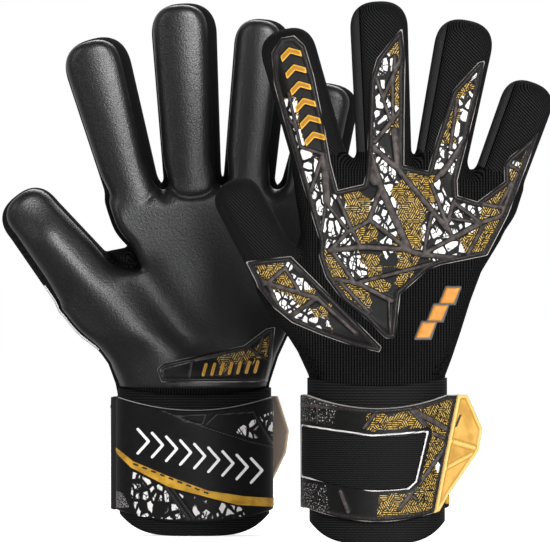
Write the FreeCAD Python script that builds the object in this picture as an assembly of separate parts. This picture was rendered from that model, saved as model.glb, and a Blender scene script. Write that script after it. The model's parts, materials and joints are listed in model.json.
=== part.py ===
import FreeCAD, Part
import math
import os

V = FreeCAD.Vector

# A pair of goalkeeper gloves standing upright on their cuffs, thumbs toward -X.
# The left glove stands behind and shows its palm to -Y.
# The right glove stands in front and shows its back to -Y, so the palms face each other.
# Each glove is drawn in its own frame: palm toward -Y, origin under the middle of the cuff.

# ---- driving dimensions, millimetres and degrees ----
GLOVE_GAP = 184.0        # between the middles of the two gloves, front to back
CUFF_DEPTH = 24.0        # half depth of the cuff, outside
FABRIC = 2.5             # thickness of cuff fabric, strap and hand walls
PALM_FRONT = -18.0       # outer face of the palm latex on the hand
PALM_PAD = 6.0           # thickness of the palm latex and its backing
BACK_FACE = 13.5         # outer face of the backhand
FINGER_FRONT = -14.5     # outer face of the latex on the fingers
FINGER_BACK = 12.5       # outer face of the back of the fingers
HINGE_DEPTH = -5.0       # depth of every finger hinge line
HINGE_GAP = 0.2          # half of the free gap at a hinge
KNUCKLE_RANGE = 50.0     # how far a finger curls at the knuckle
MID_RANGE = 45.0         # how far it curls again at its middle
MID_SHARE = 0.45         # where the middle hinge lies along a finger
WRIST_FLEX = 20.0        # bend of the wrist toward the palm
WRIST_EXTEND = 45.0      # bend of the wrist toward the back of the hand
WRIST_SPARE = 5.0        # extra clearance angle at the wrist
WRIST_GAP = 0.3          # half of the free gap at the wrist
CAP_LENGTH = 9.0         # closed end of a finger
STRAP_GAP = 0.3          # clear gap between hook and loop
STRAP_OPEN = 120.0       # how far the strap peels open
HINGE_CLEAR = 2.8        # palm half of the strap stays this far from the fold line
EMBOSS = 1.5             # height of the raised panels
FAR = 200.0              # larger than any part, for cutting tools

# fingers: base point X and Z, lean toward -X, length, width at base, width at tip
LEFT = {
    "name": "left",
    "centre_x": -44.165,
    "half_width": 41.0,
    "hem_top": 15.0,
    "band_base": 70.0,
    "wrist_z": 82.0,
    "strap_z": (14.0, 76.0),
    "tab_reach": 50.0,
    "fingers": {
        "index": (-33.2, 187.0, 15.6, 87.8, 29.5, 36.0),
        "middle": (-0.9, 192.0, 3.2, 99.4, 31.5, 35.6),
        "ring": (29.8, 193.0, -5.5, 90.0, 28.0, 30.5),
        "little": (63.3, 188.0, -13.5, 60.5, 33.0, 30.0),
        "thumb": (-59.0, 137.4, 39.0, 62.0, 40.0, 33.0),
    },
    "wrist_half": 42.0,
    "ulnar": [(52.5, 112.0), (68.5, 146.0)],
    "web": [(-37.0, 149.0), (-42.0, 166.0)],
    "patch": [(-19.0, 95.0), (42.0, 97.0), (46.0, 113.0), (-17.0, 103.0)],
    "panel_low": [(-14.0, 118.0), (12.0, 104.0), (44.0, 142.0), (66.0, 149.0)],
    "badge": (28.0, 122.0),
}
RIGHT = {
    "name": "right",
    "centre_x": 54.935,
    "half_width": 36.5,
    "hem_top": 19.0,
    "band_base": 79.0,
    "wrist_z": 90.0,
    "strap_z": (19.0, 80.0),
    "tab_reach": 54.5,
    "fingers": {
        "index": (-30.0, 203.0, 16.0, 76.0, 29.0, 29.7),
        "middle": (3.7, 207.0, 2.2, 84.4, 29.5, 31.0),
        "ring": (34.1, 205.0, -11.0, 77.5, 28.0, 31.0),
        "little": (65.0, 195.0, -20.0, 56.0, 27.0, 28.0),
        "thumb": (-52.5, 143.5, 28.0, 57.8, 27.0, 26.0),
    },
    "wrist_half": 38.0,
    "ulnar": [(45.5, 118.0), (60.5, 154.0)],
    "web": [(-40.5, 155.0), (-43.0, 178.0)],
    "patch": [(-17.0, 103.0), (36.0, 105.0), (38.0, 119.0), (-15.0, 111.0)],
    "panel_low": [(-6.0, 120.0), (12.0, 109.0), (30.0, 146.0), (58.0, 153.0)],
    "badge": (31.0, 124.0),
}
FINGERS = ("index", "middle", "ring", "little", "thumb")


# ---- small helpers ----
def plate(points, near, far):
    """Flat piece with an XZ outline, from depth near to depth far."""
    loop = [V(x, near, z) for x, z in points]
    face = Part.Face(Part.makePolygon(loop + [loop[0]]))
    return face.extrude(V(0, far - near, 0))


def ellipse_tube(half_x, half_y, wall, low, high):
    """Upright elliptical tube: half_x and half_y are its outer half sizes."""
    def column(a, b):
        big, small = (a, b) if a >= b else (b, a)
        edge = Part.Ellipse(V(0, 0, low), big, small).toShape()
        return Part.Face(Part.Wire(edge)).extrude(V(0, 0, high - low))
    return column(half_x, half_y).cut(column(half_x - wall, half_y - wall))


def block(x, y, z):
    """Box from three (low, high) pairs."""
    size = V(x[1] - x[0], y[1] - y[0], z[1] - z[0])
    return Part.makeBox(size.x, size.y, size.z, V(x[0], y[0], z[0]))


def finger_place(glove, finger):
    """Placement that takes a finger's own frame (Z along the finger) to the glove."""
    x, z, lean = glove["fingers"][finger][:3]
    return FreeCAD.Placement(V(x, 0, z), FreeCAD.Rotation(V(0, 1, 0), -lean))


def hinge_cut(side, half_angle, half_width, at=0.0):
    """Tool that frees one side of a hinge: side +1 keeps what is above it, -1 below."""
    slope = math.tan(math.radians(half_angle))
    gap = side * HINGE_GAP
    points = [
        V(-half_width, FAR, gap),
        V(-half_width, HINGE_DEPTH, gap),
        V(-half_width, -FAR, gap + side * slope * (FAR + HINGE_DEPTH)),
        V(-half_width, -FAR, -side * FAR),
        V(-half_width, FAR, -side * FAR),
    ]
    face = Part.Face(Part.makePolygon(points + [points[0]]))
    tool = face.extrude(V(2 * half_width, 0, 0))
    tool.translate(V(0, 0, at))
    return tool


# ---- fingers ----
def finger_outline(length, base, tip):
    """Finger seen from the palm: straight sides and a rounded end."""
    radius = tip / 2
    straight = length - radius
    left, right = V(-radius, 0, straight), V(radius, 0, straight)
    top = V(0, 0, length)
    start, end = V(-base / 2, 0, 0), V(base / 2, 0, 0)
    wire = Part.Wire([
        Part.makeLine(start, left),
        Part.Arc(left, top, right).toShape(),
        Part.makeLine(right, end),
        Part.makeLine(end, start),
    ])
    return wire


def finger_layer(length, base, tip, near, far):
    face = Part.Face(finger_outline(length, base, tip))
    face.translate(V(0, near, 0))
    return face.extrude(V(0, far - near, 0))


def gussets(length, base, tip, near, far):
    """The two side walls of a finger, up to where the closed end starts."""
    inner = finger_layer(length, base - 2 * FABRIC, tip - 2 * FABRIC, near, far)
    whole = finger_layer(length, base, tip, near, far)
    rim = whole.common(block((-FAR, FAR), (near, far), (0, length - CAP_LENGTH)))
    slope = (tip - base) / 2 / (length - tip / 2)
    walls = []
    for sign in (-1, 1):
        low = sign * (base / 2 - FABRIC)
        high = sign * (base / 2 - FABRIC + slope * length)
        keep = plate([(low, 0), (sign * FAR, 0), (sign * FAR, length), (high, length)], near, far)
        walls.append(rim.common(keep))
    return walls


def finger_parts(glove, finger):
    """Solids of a finger in its own frame: base solids, tip pad, tip back and sides."""
    length, base, tip = glove["fingers"][finger][3:]
    pad_back = FINGER_FRONT + PALM_PAD
    back_front = FINGER_BACK - FABRIC
    pad = finger_layer(length, base, tip, FINGER_FRONT, pad_back)
    back = finger_layer(length, base, tip, back_front, FINGER_BACK)
    sides = gussets(length, base, tip, pad_back, back_front)
    cap = finger_layer(length, base, tip, pad_back, back_front)
    cap = cap.common(block((-FAR, FAR), (-FAR, FAR), (length - CAP_LENGTH, FAR)))
    split = length * MID_SHARE
    above_knuckle = hinge_cut(1, KNUCKLE_RANGE / 2, FAR)
    below_mid = hinge_cut(-1, MID_RANGE / 2, FAR, split)
    above_mid = hinge_cut(1, MID_RANGE / 2, FAR, split)
    low = [s.cut(above_knuckle).cut(below_mid) for s in [pad, back] + sides]
    high = [s.cut(above_mid) for s in [back] + sides] + [cap]
    return low, pad.cut(above_mid), high


# ---- hand ----
def base_line(glove, finger):
    """Left and right ends of a finger's base line, in the glove's frame."""
    half = glove["fingers"][finger][4] / 2
    place = finger_place(glove, finger)
    ends = [place.multVec(V(sign * half, 0, 0)) for sign in (-1, 1)]
    return [(p.x, p.z) for p in ends]


def palm_edges(glove):
    """Outline of the hand without the thumb's base: ulnar side, top and radial side."""
    half, low = glove["wrist_half"], glove["wrist_z"]
    top = []
    for finger in ("little", "ring", "middle", "index"):
        left, right = base_line(glove, finger)
        top += [right, left]
    ulnar = [(half, low)] + glove["ulnar"]
    radial = list(reversed(glove["web"])) + [(-half, low)]
    return ulnar, top, radial


def thumb_wedge(glove):
    """Outline of the hand's corner that carries the thumb."""
    left, right = base_line(glove, "thumb")
    half, low = glove["wrist_half"], glove["wrist_z"]
    return [(-half, low), glove["web"][0], right, left]


def hand_wall(outer, near, far):
    """Wall pieces along an open outline, FABRIC thick, on its left side."""
    walls = []
    for (x0, z0), (x1, z1) in zip(outer, outer[1:]):
        run = math.hypot(x1 - x0, z1 - z0)
        nx, nz = -(z1 - z0) / run * FABRIC, (x1 - x0) / run * FABRIC
        walls.append(plate([(x0, z0), (x1, z1), (x1 + nx, z1 + nz), (x0 + nx, z0 + nz)], near, far))
    return walls


def wrist_cut(glove):
    """Tool that frees the hand's lower edge for the bend of the wrist."""
    low = glove["wrist_z"] + WRIST_GAP
    palm = low + FAR * math.tan(math.radians(WRIST_FLEX + WRIST_SPARE))
    back = low + FAR * math.tan(math.radians(WRIST_EXTEND + WRIST_SPARE))
    points = [V(-FAR, -FAR, palm), V(-FAR, 0, low), V(-FAR, FAR, back),
              V(-FAR, FAR, -FAR), V(-FAR, -FAR, -FAR)]
    face = Part.Face(Part.makePolygon(points + [points[0]]))
    return face.extrude(V(2 * FAR, 0, 0))


def trim_hand(glove, solids):
    """Free the hand's solids from the cuff and from every finger that bends beside them."""
    done = []
    below = wrist_cut(glove)
    for solid in solids:
        solid = solid.cut(below)
        for finger in FINGERS:
            half = glove["fingers"][finger][4] / 2 + 1.0
            tool = hinge_cut(-1, KNUCKLE_RANGE / 2, half)
            tool = tool.common(block((-half, half), (-FAR, FAR), (-20, 14)))
            tool.Placement = finger_place(glove, finger)
            solid = solid.cut(tool)
        done += solid.Solids
    return done


def hand_parts(glove):
    ulnar, top, radial = palm_edges(glove)
    outline = ulnar + top + radial
    corner = thumb_wedge(glove)
    pad_back = PALM_FRONT + PALM_PAD
    back_front = BACK_FACE - FABRIC
    pads = [plate(o, PALM_FRONT, pad_back) for o in (outline, corner)]
    backs = [plate(o, back_front, BACK_FACE) for o in (outline, corner)]
    left, right = base_line(glove, "thumb")
    walls = hand_wall(ulnar + [top[0]], pad_back, back_front)
    walls += hand_wall([top[-1]] + radial[:-1] + [right], pad_back, back_front)
    walls += hand_wall([left, radial[-1]], pad_back, back_front)
    walls = separate(walls)
    return trim_hand(glove, pads), trim_hand(glove, backs), trim_hand(glove, walls)


def separate(solids):
    """Cut each solid back from the ones before it, so that neighbours only touch."""
    done = []
    for solid in solids:
        for other in done:
            solid = solid.cut(other)
        done += [s for s in solid.Solids if s.Volume > 1]
    return done


def back_panel(glove):
    """Raised latex panel on the backhand."""
    fingers = ("index", "middle", "ring", "little")
    ends = [base_line(glove, f) for f in fingers]
    top = [(x, z - 6) for pair in reversed(ends) for x, z in (pair[1], pair[0])]
    outline = glove["panel_low"] + top
    return plate(outline, BACK_FACE, BACK_FACE + EMBOSS)


def badge(glove):
    """Small two-part badge on the back panel."""
    x, z = glove["badge"]
    left = [(x - 11, z + 12), (x - 2, z + 2), (x - 4, z - 13)]
    right = [(x + 1, z), (x + 13, z + 10), (x - 1, z - 14)]
    near = BACK_FACE + EMBOSS
    return [plate(o, near, near + 1.2) for o in (left, right)]


# ---- cuff and strap ----
def shell(glove, inner, outer, z, start, end):
    """Curved piece round the cuff between two offsets, over angles from +X toward +Y."""
    low, high = z
    tube = ellipse_tube(
        glove["half_width"] + outer, CUFF_DEPTH + outer, outer - inner, low, high)
    reach = FAR
    points = [V(0, 0, low)]
    for i in range(7):
        a = math.radians(start + (end - start) * i / 6)
        points.append(V(reach * math.cos(a), reach * math.sin(a), low))
    sector = Part.Face(Part.makePolygon(points + [points[0]])).extrude(V(0, 0, high - low))
    return tube.common(sector)


def cuff_parts(glove):
    a, b = glove["half_width"], CUFF_DEPTH
    hem_top, band_base = glove["hem_top"], glove["band_base"]
    hem = ellipse_tube(a, b, FABRIC, 0, hem_top)
    # the hem curves up at its sides and stands on its middle
    radius = 75.0
    floor = Part.makeCylinder(radius, 2 * FAR, V(0, -FAR, radius - 1.0), V(0, 1, 0))
    hem = hem.common(floor)
    sleeve = ellipse_tube(a, b, FABRIC, hem_top, band_base)
    band = ellipse_tube(a, b, FABRIC + 0.5, band_base, glove["wrist_z"] - WRIST_GAP)
    return hem, sleeve, band


def strap_parts(glove):
    """Palm half of the strap, loop patch, flap, ribbed panel, pull tab and hook patch."""
    low, high = glove["strap_z"]
    z = (low, high)
    free = block((-FAR, FAR), (-FAR, -HINGE_CLEAR), (-FAR, FAR))
    anchor = shell(glove, 0, FABRIC, z, 180, 355).common(free)
    loop = shell(glove, 0, 1.0, (low + 4, high - 4), 30, 150)
    lift = 1.0 + STRAP_GAP
    hook = shell(glove, lift, FABRIC, (low + 6, high - 6), 55, 88)
    flap = shell(glove, FABRIC, 2 * FABRIC, z, 48, 179)
    panel = shell(glove, 2 * FABRIC, 2 * FABRIC + 1, (low + 9, high - 14), 66, 165)
    return anchor, loop, hook, flap, panel, strap_end(glove, flap)


def strap_end(glove, flap):
    """Flat end of the strap and the pull tab, along the flap's last direction."""
    a = glove["half_width"] + FABRIC
    b = CUFF_DEPTH + FABRIC
    ray = math.radians(48)
    r = a * b / math.hypot(b * math.cos(ray), a * math.sin(ray))
    x, y = r * math.cos(ray), r * math.sin(ray)
    along = V(y / b ** 2, -x / a ** 2, 0).normalize()
    low, high = glove["strap_z"]
    mid = (low + high) / 2 + 12
    run = (glove["tab_reach"] - x) / along.x
    top, foot = run * 0.55, run * 0.12
    turn = FreeCAD.Rotation(V(1, 0, 0), along)
    place = FreeCAD.Placement(V(x, y, 0), turn)
    tongue = plate([(-0.5, low), (foot, low), (top, high), (-0.5, high)], 0, FABRIC)
    tab = plate([(foot, low), (foot + 3, low), (run, mid), (run * 0.72, high), (top, high)], 0, FABRIC)
    tongue.Placement = place
    tab.Placement = place
    return tongue, tab


# ---- assembly ----
def glove_nodes(glove):
    """All sub-parts of one glove, in the glove's own frame: name to list of solids."""
    hem, sleeve, band = cuff_parts(glove)
    anchor, loop, hook, flap, panel, (tongue, tab) = strap_parts(glove)
    pads, backs, walls = hand_parts(glove)
    nodes = {
        "cuff_hem": [hem],
        "cuff_sleeve": [sleeve],
        "wrist_band": [band],
        "strap_anchor": [anchor],
        "loop_patch": [loop],
        "strap_flap": [flap.fuse(tongue).removeSplitter()],
        "strap_elastic_panel": [panel],
        "hook_patch": [hook],
        "pull_tab": [tab],
        "palm_pad": pads,
        "back_knit": backs,
        "side_gusset": walls,
        "back_panel": [back_panel(glove)],
        "wrist_patch": [plate(glove["patch"], PALM_FRONT - EMBOSS, PALM_FRONT)],
        "badge": badge(glove),
    }
    for finger in FINGERS:
        low, pad, high = finger_parts(glove, finger)
        place = finger_place(glove, finger)
        moved = lambda solids: [s.transformed(place.toMatrix()) for s in solids]
        nodes[finger + "_base"] = moved(low)
        nodes[finger + "_tip_pad"] = moved([pad])
        nodes[finger + "_tip_back"] = moved(high)
    return nodes


def to_world(glove, solids):
    """Place a glove's solids: the right glove is the mirrored one, in front."""
    out = []
    for solid in solids:
        if glove["name"] == "right":
            solid = solid.mirror(V(0, 0, 0), V(0, 1, 0))
            offset = V(glove["centre_x"], -GLOVE_GAP / 2, 0)
        else:
            offset = V(glove["centre_x"], GLOVE_GAP / 2, 0)
        solid = solid.copy()
        solid.translate(offset)
        out += solid.Solids
    return out


def build():
    os.makedirs("parts", exist_ok=True)
    for glove in (LEFT, RIGHT):
        for name, solids in glove_nodes(glove).items():
            placed = to_world(glove, solids)
            shape = placed[0] if len(placed) == 1 else Part.makeCompound(placed)
            shape.exportStep("parts/" + glove["name"] + "_" + name + ".step")


build()
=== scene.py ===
import bpy
import json
import math
import numpy as np
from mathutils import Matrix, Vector


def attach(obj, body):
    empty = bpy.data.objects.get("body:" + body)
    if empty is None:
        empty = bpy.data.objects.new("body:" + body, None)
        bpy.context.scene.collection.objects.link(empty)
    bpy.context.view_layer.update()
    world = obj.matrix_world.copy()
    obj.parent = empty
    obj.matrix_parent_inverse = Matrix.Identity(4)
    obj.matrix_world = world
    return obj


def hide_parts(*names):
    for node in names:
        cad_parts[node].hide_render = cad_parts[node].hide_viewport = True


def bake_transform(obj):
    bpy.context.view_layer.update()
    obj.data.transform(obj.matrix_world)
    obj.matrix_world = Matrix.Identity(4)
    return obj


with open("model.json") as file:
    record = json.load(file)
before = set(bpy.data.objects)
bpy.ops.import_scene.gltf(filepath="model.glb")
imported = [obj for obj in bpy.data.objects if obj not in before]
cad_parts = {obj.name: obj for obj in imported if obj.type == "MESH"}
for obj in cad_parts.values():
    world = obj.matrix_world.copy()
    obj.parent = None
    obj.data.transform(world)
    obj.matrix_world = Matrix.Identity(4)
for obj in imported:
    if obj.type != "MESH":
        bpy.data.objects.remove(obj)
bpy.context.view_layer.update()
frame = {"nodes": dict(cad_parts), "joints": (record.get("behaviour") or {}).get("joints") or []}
JOINTS = {j["name"]: j for j in frame["joints"]}
FINGERS = ("index", "middle", "ring", "little", "thumb")
MM = 0.001

# ---- looks, in millimetres ----
CELL = 1.2            # size of the field cells that the soft shapes are made from
FINE = 0.68           # grid of the embossed panels
CORNER = 10.0         # rounding of the glove's edges
LATEX_CELL = CELL * 0.92
PAD_EDGE = 5.5        # rounding of the latex pads' edges
PAD_SHIFT = -2.0      # the finger pads sit this far to one side of the fingers
PAD_INSET = 2.7       # the pads stop this far inside a finger's outline
PALM_INSET = 1.6      # and this far inside the palm's outline
PAD_RISE = 1.6        # the latex stands this far in front of the fabric
SEAM = 1.6            # depth of the seams between finger pads and palm
WALL = 2.4            # fabric wall round the hand's hollow
FRONT = 14.0          # half depth of a finger on the palm side
BACK = 12.3           # half depth on the back
HAND_FRONT = 16.0     # half depth of the hand on the palm side
REACH = 27            # the fields begin this far in front of the middle plane
KNUCKLE = 4.0         # a finger's own pieces begin this far past its knuckle line
BEND = 16.0           # length over which a joint bends
SPREAD = 0.84         # a strut's visible part of its half width
FAR = 9.0             # stands for a distance too far to matter
SAG = 7.0             # the strap's edges dip this far in the middle
HEM_LIFT = 12.0       # the hem's sides stand this far off the floor

# hand outlines in each glove's own frame (thumb toward -X, Z from the floor)
HAND = {
    "left": {
        "ulnar": [(41.2, 83.0), (46.0, 98.0), (52.5, 112.0), (60.5, 130.0), (70.5, 150.0), (77.5, 170.0)],
        "web": [(-44.6, 177.5), (-40.2, 167.5), (-35.4, 158.0), (-31.0, 147.0)],
        "radial": [(-69.6, 122.8), (-58.4, 108.2), (-52.6, 101.4), (-47.2, 94.0), (-43.2, 83.0)],
    },
    "right": {
        "ulnar": [(36.6, 90.0), (40.0, 99.0), (45.0, 114.0), (50.0, 130.0), (56.0, 146.0), (66.0, 162.5),
                  (73.5, 178.5)],
        "web": [(-42.5, 182.0), (-41.0, 166.0), (-42.0, 156.0)],
        "radial": [(-51.0, 116.0), (-42.8, 103.0), (-36.8, 90.0)],
    },
}


class Finger:
    """A finger's place and size, read from its joints and its CAD nodes."""

    def __init__(self, glove, name):
        self.name = name
        knuckle = JOINTS[f"{glove.name}_{name}_knuckle"]
        middle = JOINTS[f"{glove.name}_{name}_middle"]
        ax, _, az = knuckle["axis"]
        self.lean = math.atan2(az * glove.sign, ax * glove.sign)
        base = glove.local(np.array([knuckle["pos_m"]]) / MM)[0]
        mid = glove.local(np.array([middle["pos_m"]]) / MM)[0]
        self.x, self.z = base[0], base[2]
        self.split = math.hypot(mid[0] - base[0], mid[2] - base[2])
        tip = self.frame_of(glove.node_points(f"{name}_tip_pad"))
        low = self.frame_of(glove.node_points(f"{name}_base"))
        self.length = tip[:, 1].max()
        self.tip = np.abs(tip[tip[:, 1] > 0.7 * self.length, 0]).max()
        self.base = np.abs(low[low[:, 1] < 1.0, 0]).max()
        self.straight = self.length - self.tip

    def frame_of(self, p):
        """Across and along the finger, for local points."""
        return np.stack(self.axes(p[:, 0], p[:, 2]), axis=1)

    def axes(self, x, z):
        c, s = math.cos(self.lean), math.sin(self.lean)
        dx, dz = x - self.x, z - self.z
        return dx * c + dz * s, -dx * s + dz * c

    def point(self, across, along):
        c, s = math.cos(self.lean), math.sin(self.lean)
        return self.x + across * c - along * s, self.z + across * s + along * c

    def half(self, along):
        t = np.clip(along / self.straight, 0, 1)
        return self.base + (self.tip - self.base) * t

    def distance(self, x, z, inset=0.0, shift=0.0, low=-10.0):
        """Distance outside the finger's outline, less than 0 inside it."""
        u, s = self.axes(x, z)
        t = np.clip(s, low, self.straight + 0.7 * inset)
        move = shift * smoothstep(s, 0, 18) * (-0.5 if self.name == "thumb" else 1.0)
        across, beyond = np.abs(u - move), np.abs(s - t)
        return (across ** 2.5 + beyond ** 2.5) ** 0.4 - (self.half(t) - inset)


class Glove:
    """One glove: its frame, sizes and outline."""

    def __init__(self, name):
        self.name = name
        self.sign = 1.0 if name == "left" else -1.0
        wrist = np.array(JOINTS[name + "_wrist"]["pos_m"]) / MM
        self.centre = np.array([wrist[0], wrist[1], 0.0])
        self.wrist = wrist[2]
        lo, hi = self.local_box("cuff_sleeve")
        self.a, self.b = (hi[0] - lo[0]) / 2, (hi[1] - lo[1]) / 2
        self.hem_top, self.band_base = lo[2], hi[2]
        lo, hi = self.local_box("strap_anchor")
        self.strap_low, self.strap_high = lo[2], hi[2]
        self.tab_reach = self.local_box("pull_tab")[1][0]
        self.fingers = {f: Finger(self, f) for f in FINGERS}
        self.outline = self.hand_outline()
        thumb, edge = self.fingers["thumb"], HAND[name]["web"]
        self.web = np.array([thumb.point(thumb.base - 0.5, 7.5), edge[-2], edge[-1],
                             thumb.point(thumb.base - 2, -3)])

    def node_points(self, node):
        mesh = frame["nodes"][f"{self.name}_{node}"].data
        p = np.empty(len(mesh.vertices) * 3)
        mesh.vertices.foreach_get("co", p)
        return self.local(p.reshape(-1, 3) / MM)

    def local_box(self, node):
        p = self.node_points(node)
        return p.min(axis=0), p.max(axis=0)

    def local(self, p):
        return (p - self.centre) * np.array([1.0, self.sign, 1.0])

    def world(self, p):
        return (p * np.array([1.0, self.sign, 1.0]) + self.centre) * MM

    def hand_outline(self):
        edges = HAND[self.name]
        points = list(edges["ulnar"])
        for name in ("little", "ring", "middle", "index"):
            f = self.fingers[name]
            points += [f.point(f.base - 1.0, -1.0), f.point(1.0 - f.base, -1.0)]
        points += edges["web"]
        thumb = self.fingers["thumb"]
        points += [thumb.point(thumb.base - 2, -3.0), thumb.point(2 - thumb.base, -3.0)]
        points += edges["radial"]
        points += [(1.5 - self.a, self.wrist - 18), (self.a - 1.5, self.wrist - 18)]
        return np.array(points)


# ---- fields ----
def smin(a, b, k):
    h = np.clip(0.5 + 0.5 * (b - a) / k, 0, 1)
    return b * (1 - h) + a * h - k * h * (1 - h)


def smoothstep(x, low, high):
    t = np.clip((x - low) / (high - low), 0, 1)
    return t * t * (3 - 2 * t)


def polygon_distance(x, z, points):
    """Signed distance to a closed outline, less than 0 inside."""
    best = np.full(x.shape, 1e9)
    inside = np.zeros(x.shape, bool)
    for (x0, z0), (x1, z1) in zip(points, np.roll(points, -1, axis=0)):
        ex, ez = x1 - x0, z1 - z0
        wx, wz = x - x0, z - z0
        t = np.clip((wx * ex + wz * ez) / (ex * ex + ez * ez), 0, 1)
        best = np.minimum(best, np.hypot(wx - t * ex, wz - t * ez))
        cross = (z0 > z) != (z1 > z)
        side = (z - z0) * ex / (ez if ez else 1e-9) + x0
        inside ^= cross & (x < side)
    return np.where(inside, -best, best)


def segment_distance(x, z, start, end):
    ex, ez = end[0] - start[0], end[1] - start[1]
    t = np.clip(((x - start[0]) * ex + (z - start[1]) * ez) / (ex * ex + ez * ez), 0, 1)
    return np.hypot(x - start[0] - t * ex, z - start[1] - t * ez)


def silhouette(g, x, z, inset=0.0, finger_inset=0.0, shift=0.0):
    """Distance to the whole glove's outline, hand and fingers."""
    hand = polygon_distance(x, z, g.outline) + inset
    whole = hand
    for f in g.fingers.values():
        arm = f.distance(x, z, finger_inset, shift)
        whole = np.minimum(whole, smin(arm, hand, {"thumb": 9.0, "index": 9.0}.get(f.name, 6.0)))
    return whole if inset else np.minimum(whole, polygon_distance(x, z, g.web))


def palm_bulge(g, x, z):
    """How far the palm side stands forward of the middle plane."""
    thumb = g.fingers["thumb"]
    heel = (-0.48 * g.a, g.wrist + 16)
    web = HAND[g.name]["web"][-1]
    out = np.full(x.shape, HAND_FRONT)
    for f in g.fingers.values():
        u, s = f.axes(x, z)
        near = smoothstep(f.half(s) + 5 - np.abs(u), 0, 6) * smoothstep(s, -12, 6)
        out = out + near * (FRONT - HAND_FRONT + 1.8 - 5.6 * np.clip(u / f.half(s), -1, 1) ** 2)
    mound = segment_distance(x, z, thumb.point(0, 0.5 * thumb.length), heel)
    out = out + 5.5 * np.exp(-(mound / 15) ** 2) * smoothstep(z, g.wrist, g.wrist + 30)
    heel_two = ((x - 0.66 * g.a) / 17) ** 2 + ((z - g.wrist - 38) / 27) ** 2
    out = out + 3.2 * np.exp(-heel_two)
    valley = segment_distance(x, z, (web[0] + 4, web[1] - 6), (-0.05 * g.a, g.wrist + 22))
    out = out - 2.4 * np.exp(-(valley / 9.5) ** 2)
    cup = ((x - 0.2 * g.a) / 20) ** 2 + ((z - g.wrist - 66) / 24) ** 2
    out = out - 2.0 * np.exp(-cup)
    return oval_wrist(g, x, z, out)


def oval_wrist(g, x, z, depth):
    """Depth that turns into the cuff's oval toward the wrist."""
    wide = g.a + 1.0 + 0.45 * np.maximum(z - g.wrist, 0)
    oval = (g.b + 0.3) * np.sqrt(np.clip(1 - (x / wide) ** 2, 0.08, 1))
    share = 1 - smoothstep(z, g.wrist - 1, g.wrist + 30)
    return depth * (1 - share) + oval * share


def back_bulge(g, x, z):
    """How far the back of the glove stands behind the middle plane."""
    out = np.full(x.shape, BACK + 1.0)
    for f in g.fingers.values():
        u, s = f.axes(x, z)
        on = smoothstep(f.half(s) + 2 - np.abs(u), 0, 3) * smoothstep(s, 0, 14)
        fold = np.exp(-((u + 0.64 * f.half(s)) / 1.5) ** 2)
        left = smoothstep(-u, 0.62 * f.half(s), 0.7 * f.half(s))
        out = out - on * (0.9 * fold + 0.7 * left)
        knuckle = (u / 12) ** 2 + ((s + 6) / 12) ** 2
        out = out + 0.9 * np.exp(-knuckle)
    return oval_wrist(g, x, z, out)


def rounded_slab(outline, depth, near, far, radius):
    """Field of a slab with rounded edges: outline distance and depth limits."""
    radius = np.minimum(radius, (far - near) / 2 - 0.4)
    a = outline + radius
    b = np.abs(depth - (near + far) / 2) - (far - near) / 2 + radius
    outside = np.hypot(np.maximum(a, 0), np.maximum(b, 0))
    return outside + np.minimum(np.maximum(a, b), 0) - radius


def grid(g, cell, low, high):
    xs = [f.point(s * f.tip, f.length)[0] for f in g.fingers.values() for s in (-1, 1)]
    zs = [f.point(0, f.length)[1] for f in g.fingers.values()]
    x = np.arange(min(xs) - 8, max(xs) + 8, cell)
    y = np.arange(low, high, cell)
    z = np.arange(g.wrist - 17, max(zs) + 6, cell)
    return x, y, z


def fabric_field(g):
    x, y, z = grid(g, CELL, -REACH, 25)
    X, Z = np.meshgrid(x, z, indexing="ij")
    outline = silhouette(g, X, Z)
    front = -palm_bulge(g, X, Z) + PAD_RISE
    back = back_bulge(g, X, Z)
    Y = y[None, :, None]
    wide = [v[:, None, :] for v in (outline, front, back)]
    field = rounded_slab(wide[0], Y, wide[1], wide[2], CORNER)
    top = min(f.z for n, f in g.fingers.items() if n != "thumb") - 6
    hollow = np.maximum(field + WALL, (Z - top)[:, None, :])
    field = np.maximum(field, -hollow)
    field = np.maximum(field, (g.wrist - 13.0 - Z)[:, None, :])
    return field, (x[0], y[0], z[0]), CELL


def latex_field(g):
    x, y, z = grid(g, LATEX_CELL, -REACH, -3)
    X, Z = np.meshgrid(x, z, indexing="ij")
    outline = silhouette(g, X, Z, PALM_INSET, PAD_INSET, PAD_SHIFT)
    front = -palm_bulge(g, X, Z) + SEAM * creases(g, X, Z)
    Y = y[None, :, None]
    field = rounded_slab(outline[:, None, :], Y, front[:, None, :], front[:, None, :] + 10, PAD_EDGE)
    field = np.maximum(field, (g.wrist - 1.5 - Z)[:, None, :])
    return field, (x[0], y[0], z[0]), LATEX_CELL


def creases(g, x, z):
    """Seams where the finger pads meet the palm."""
    out = np.zeros(x.shape)
    for name, side in (("index", 1), ("middle", 0), ("ring", -1)):
        f = g.fingers[name]
        u, s = f.axes(x, z)
        ring = np.abs(f.distance(x, z, PAD_INSET, PAD_SHIFT, low=6.5))
        on = 1 - smoothstep(s, 1, 8)
        if side:
            on = 0.45 * on * smoothstep(side * u, 0, 7)
        out = np.maximum(out, np.exp(-(ring / 1.4) ** 2) * on)
    return out


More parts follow.
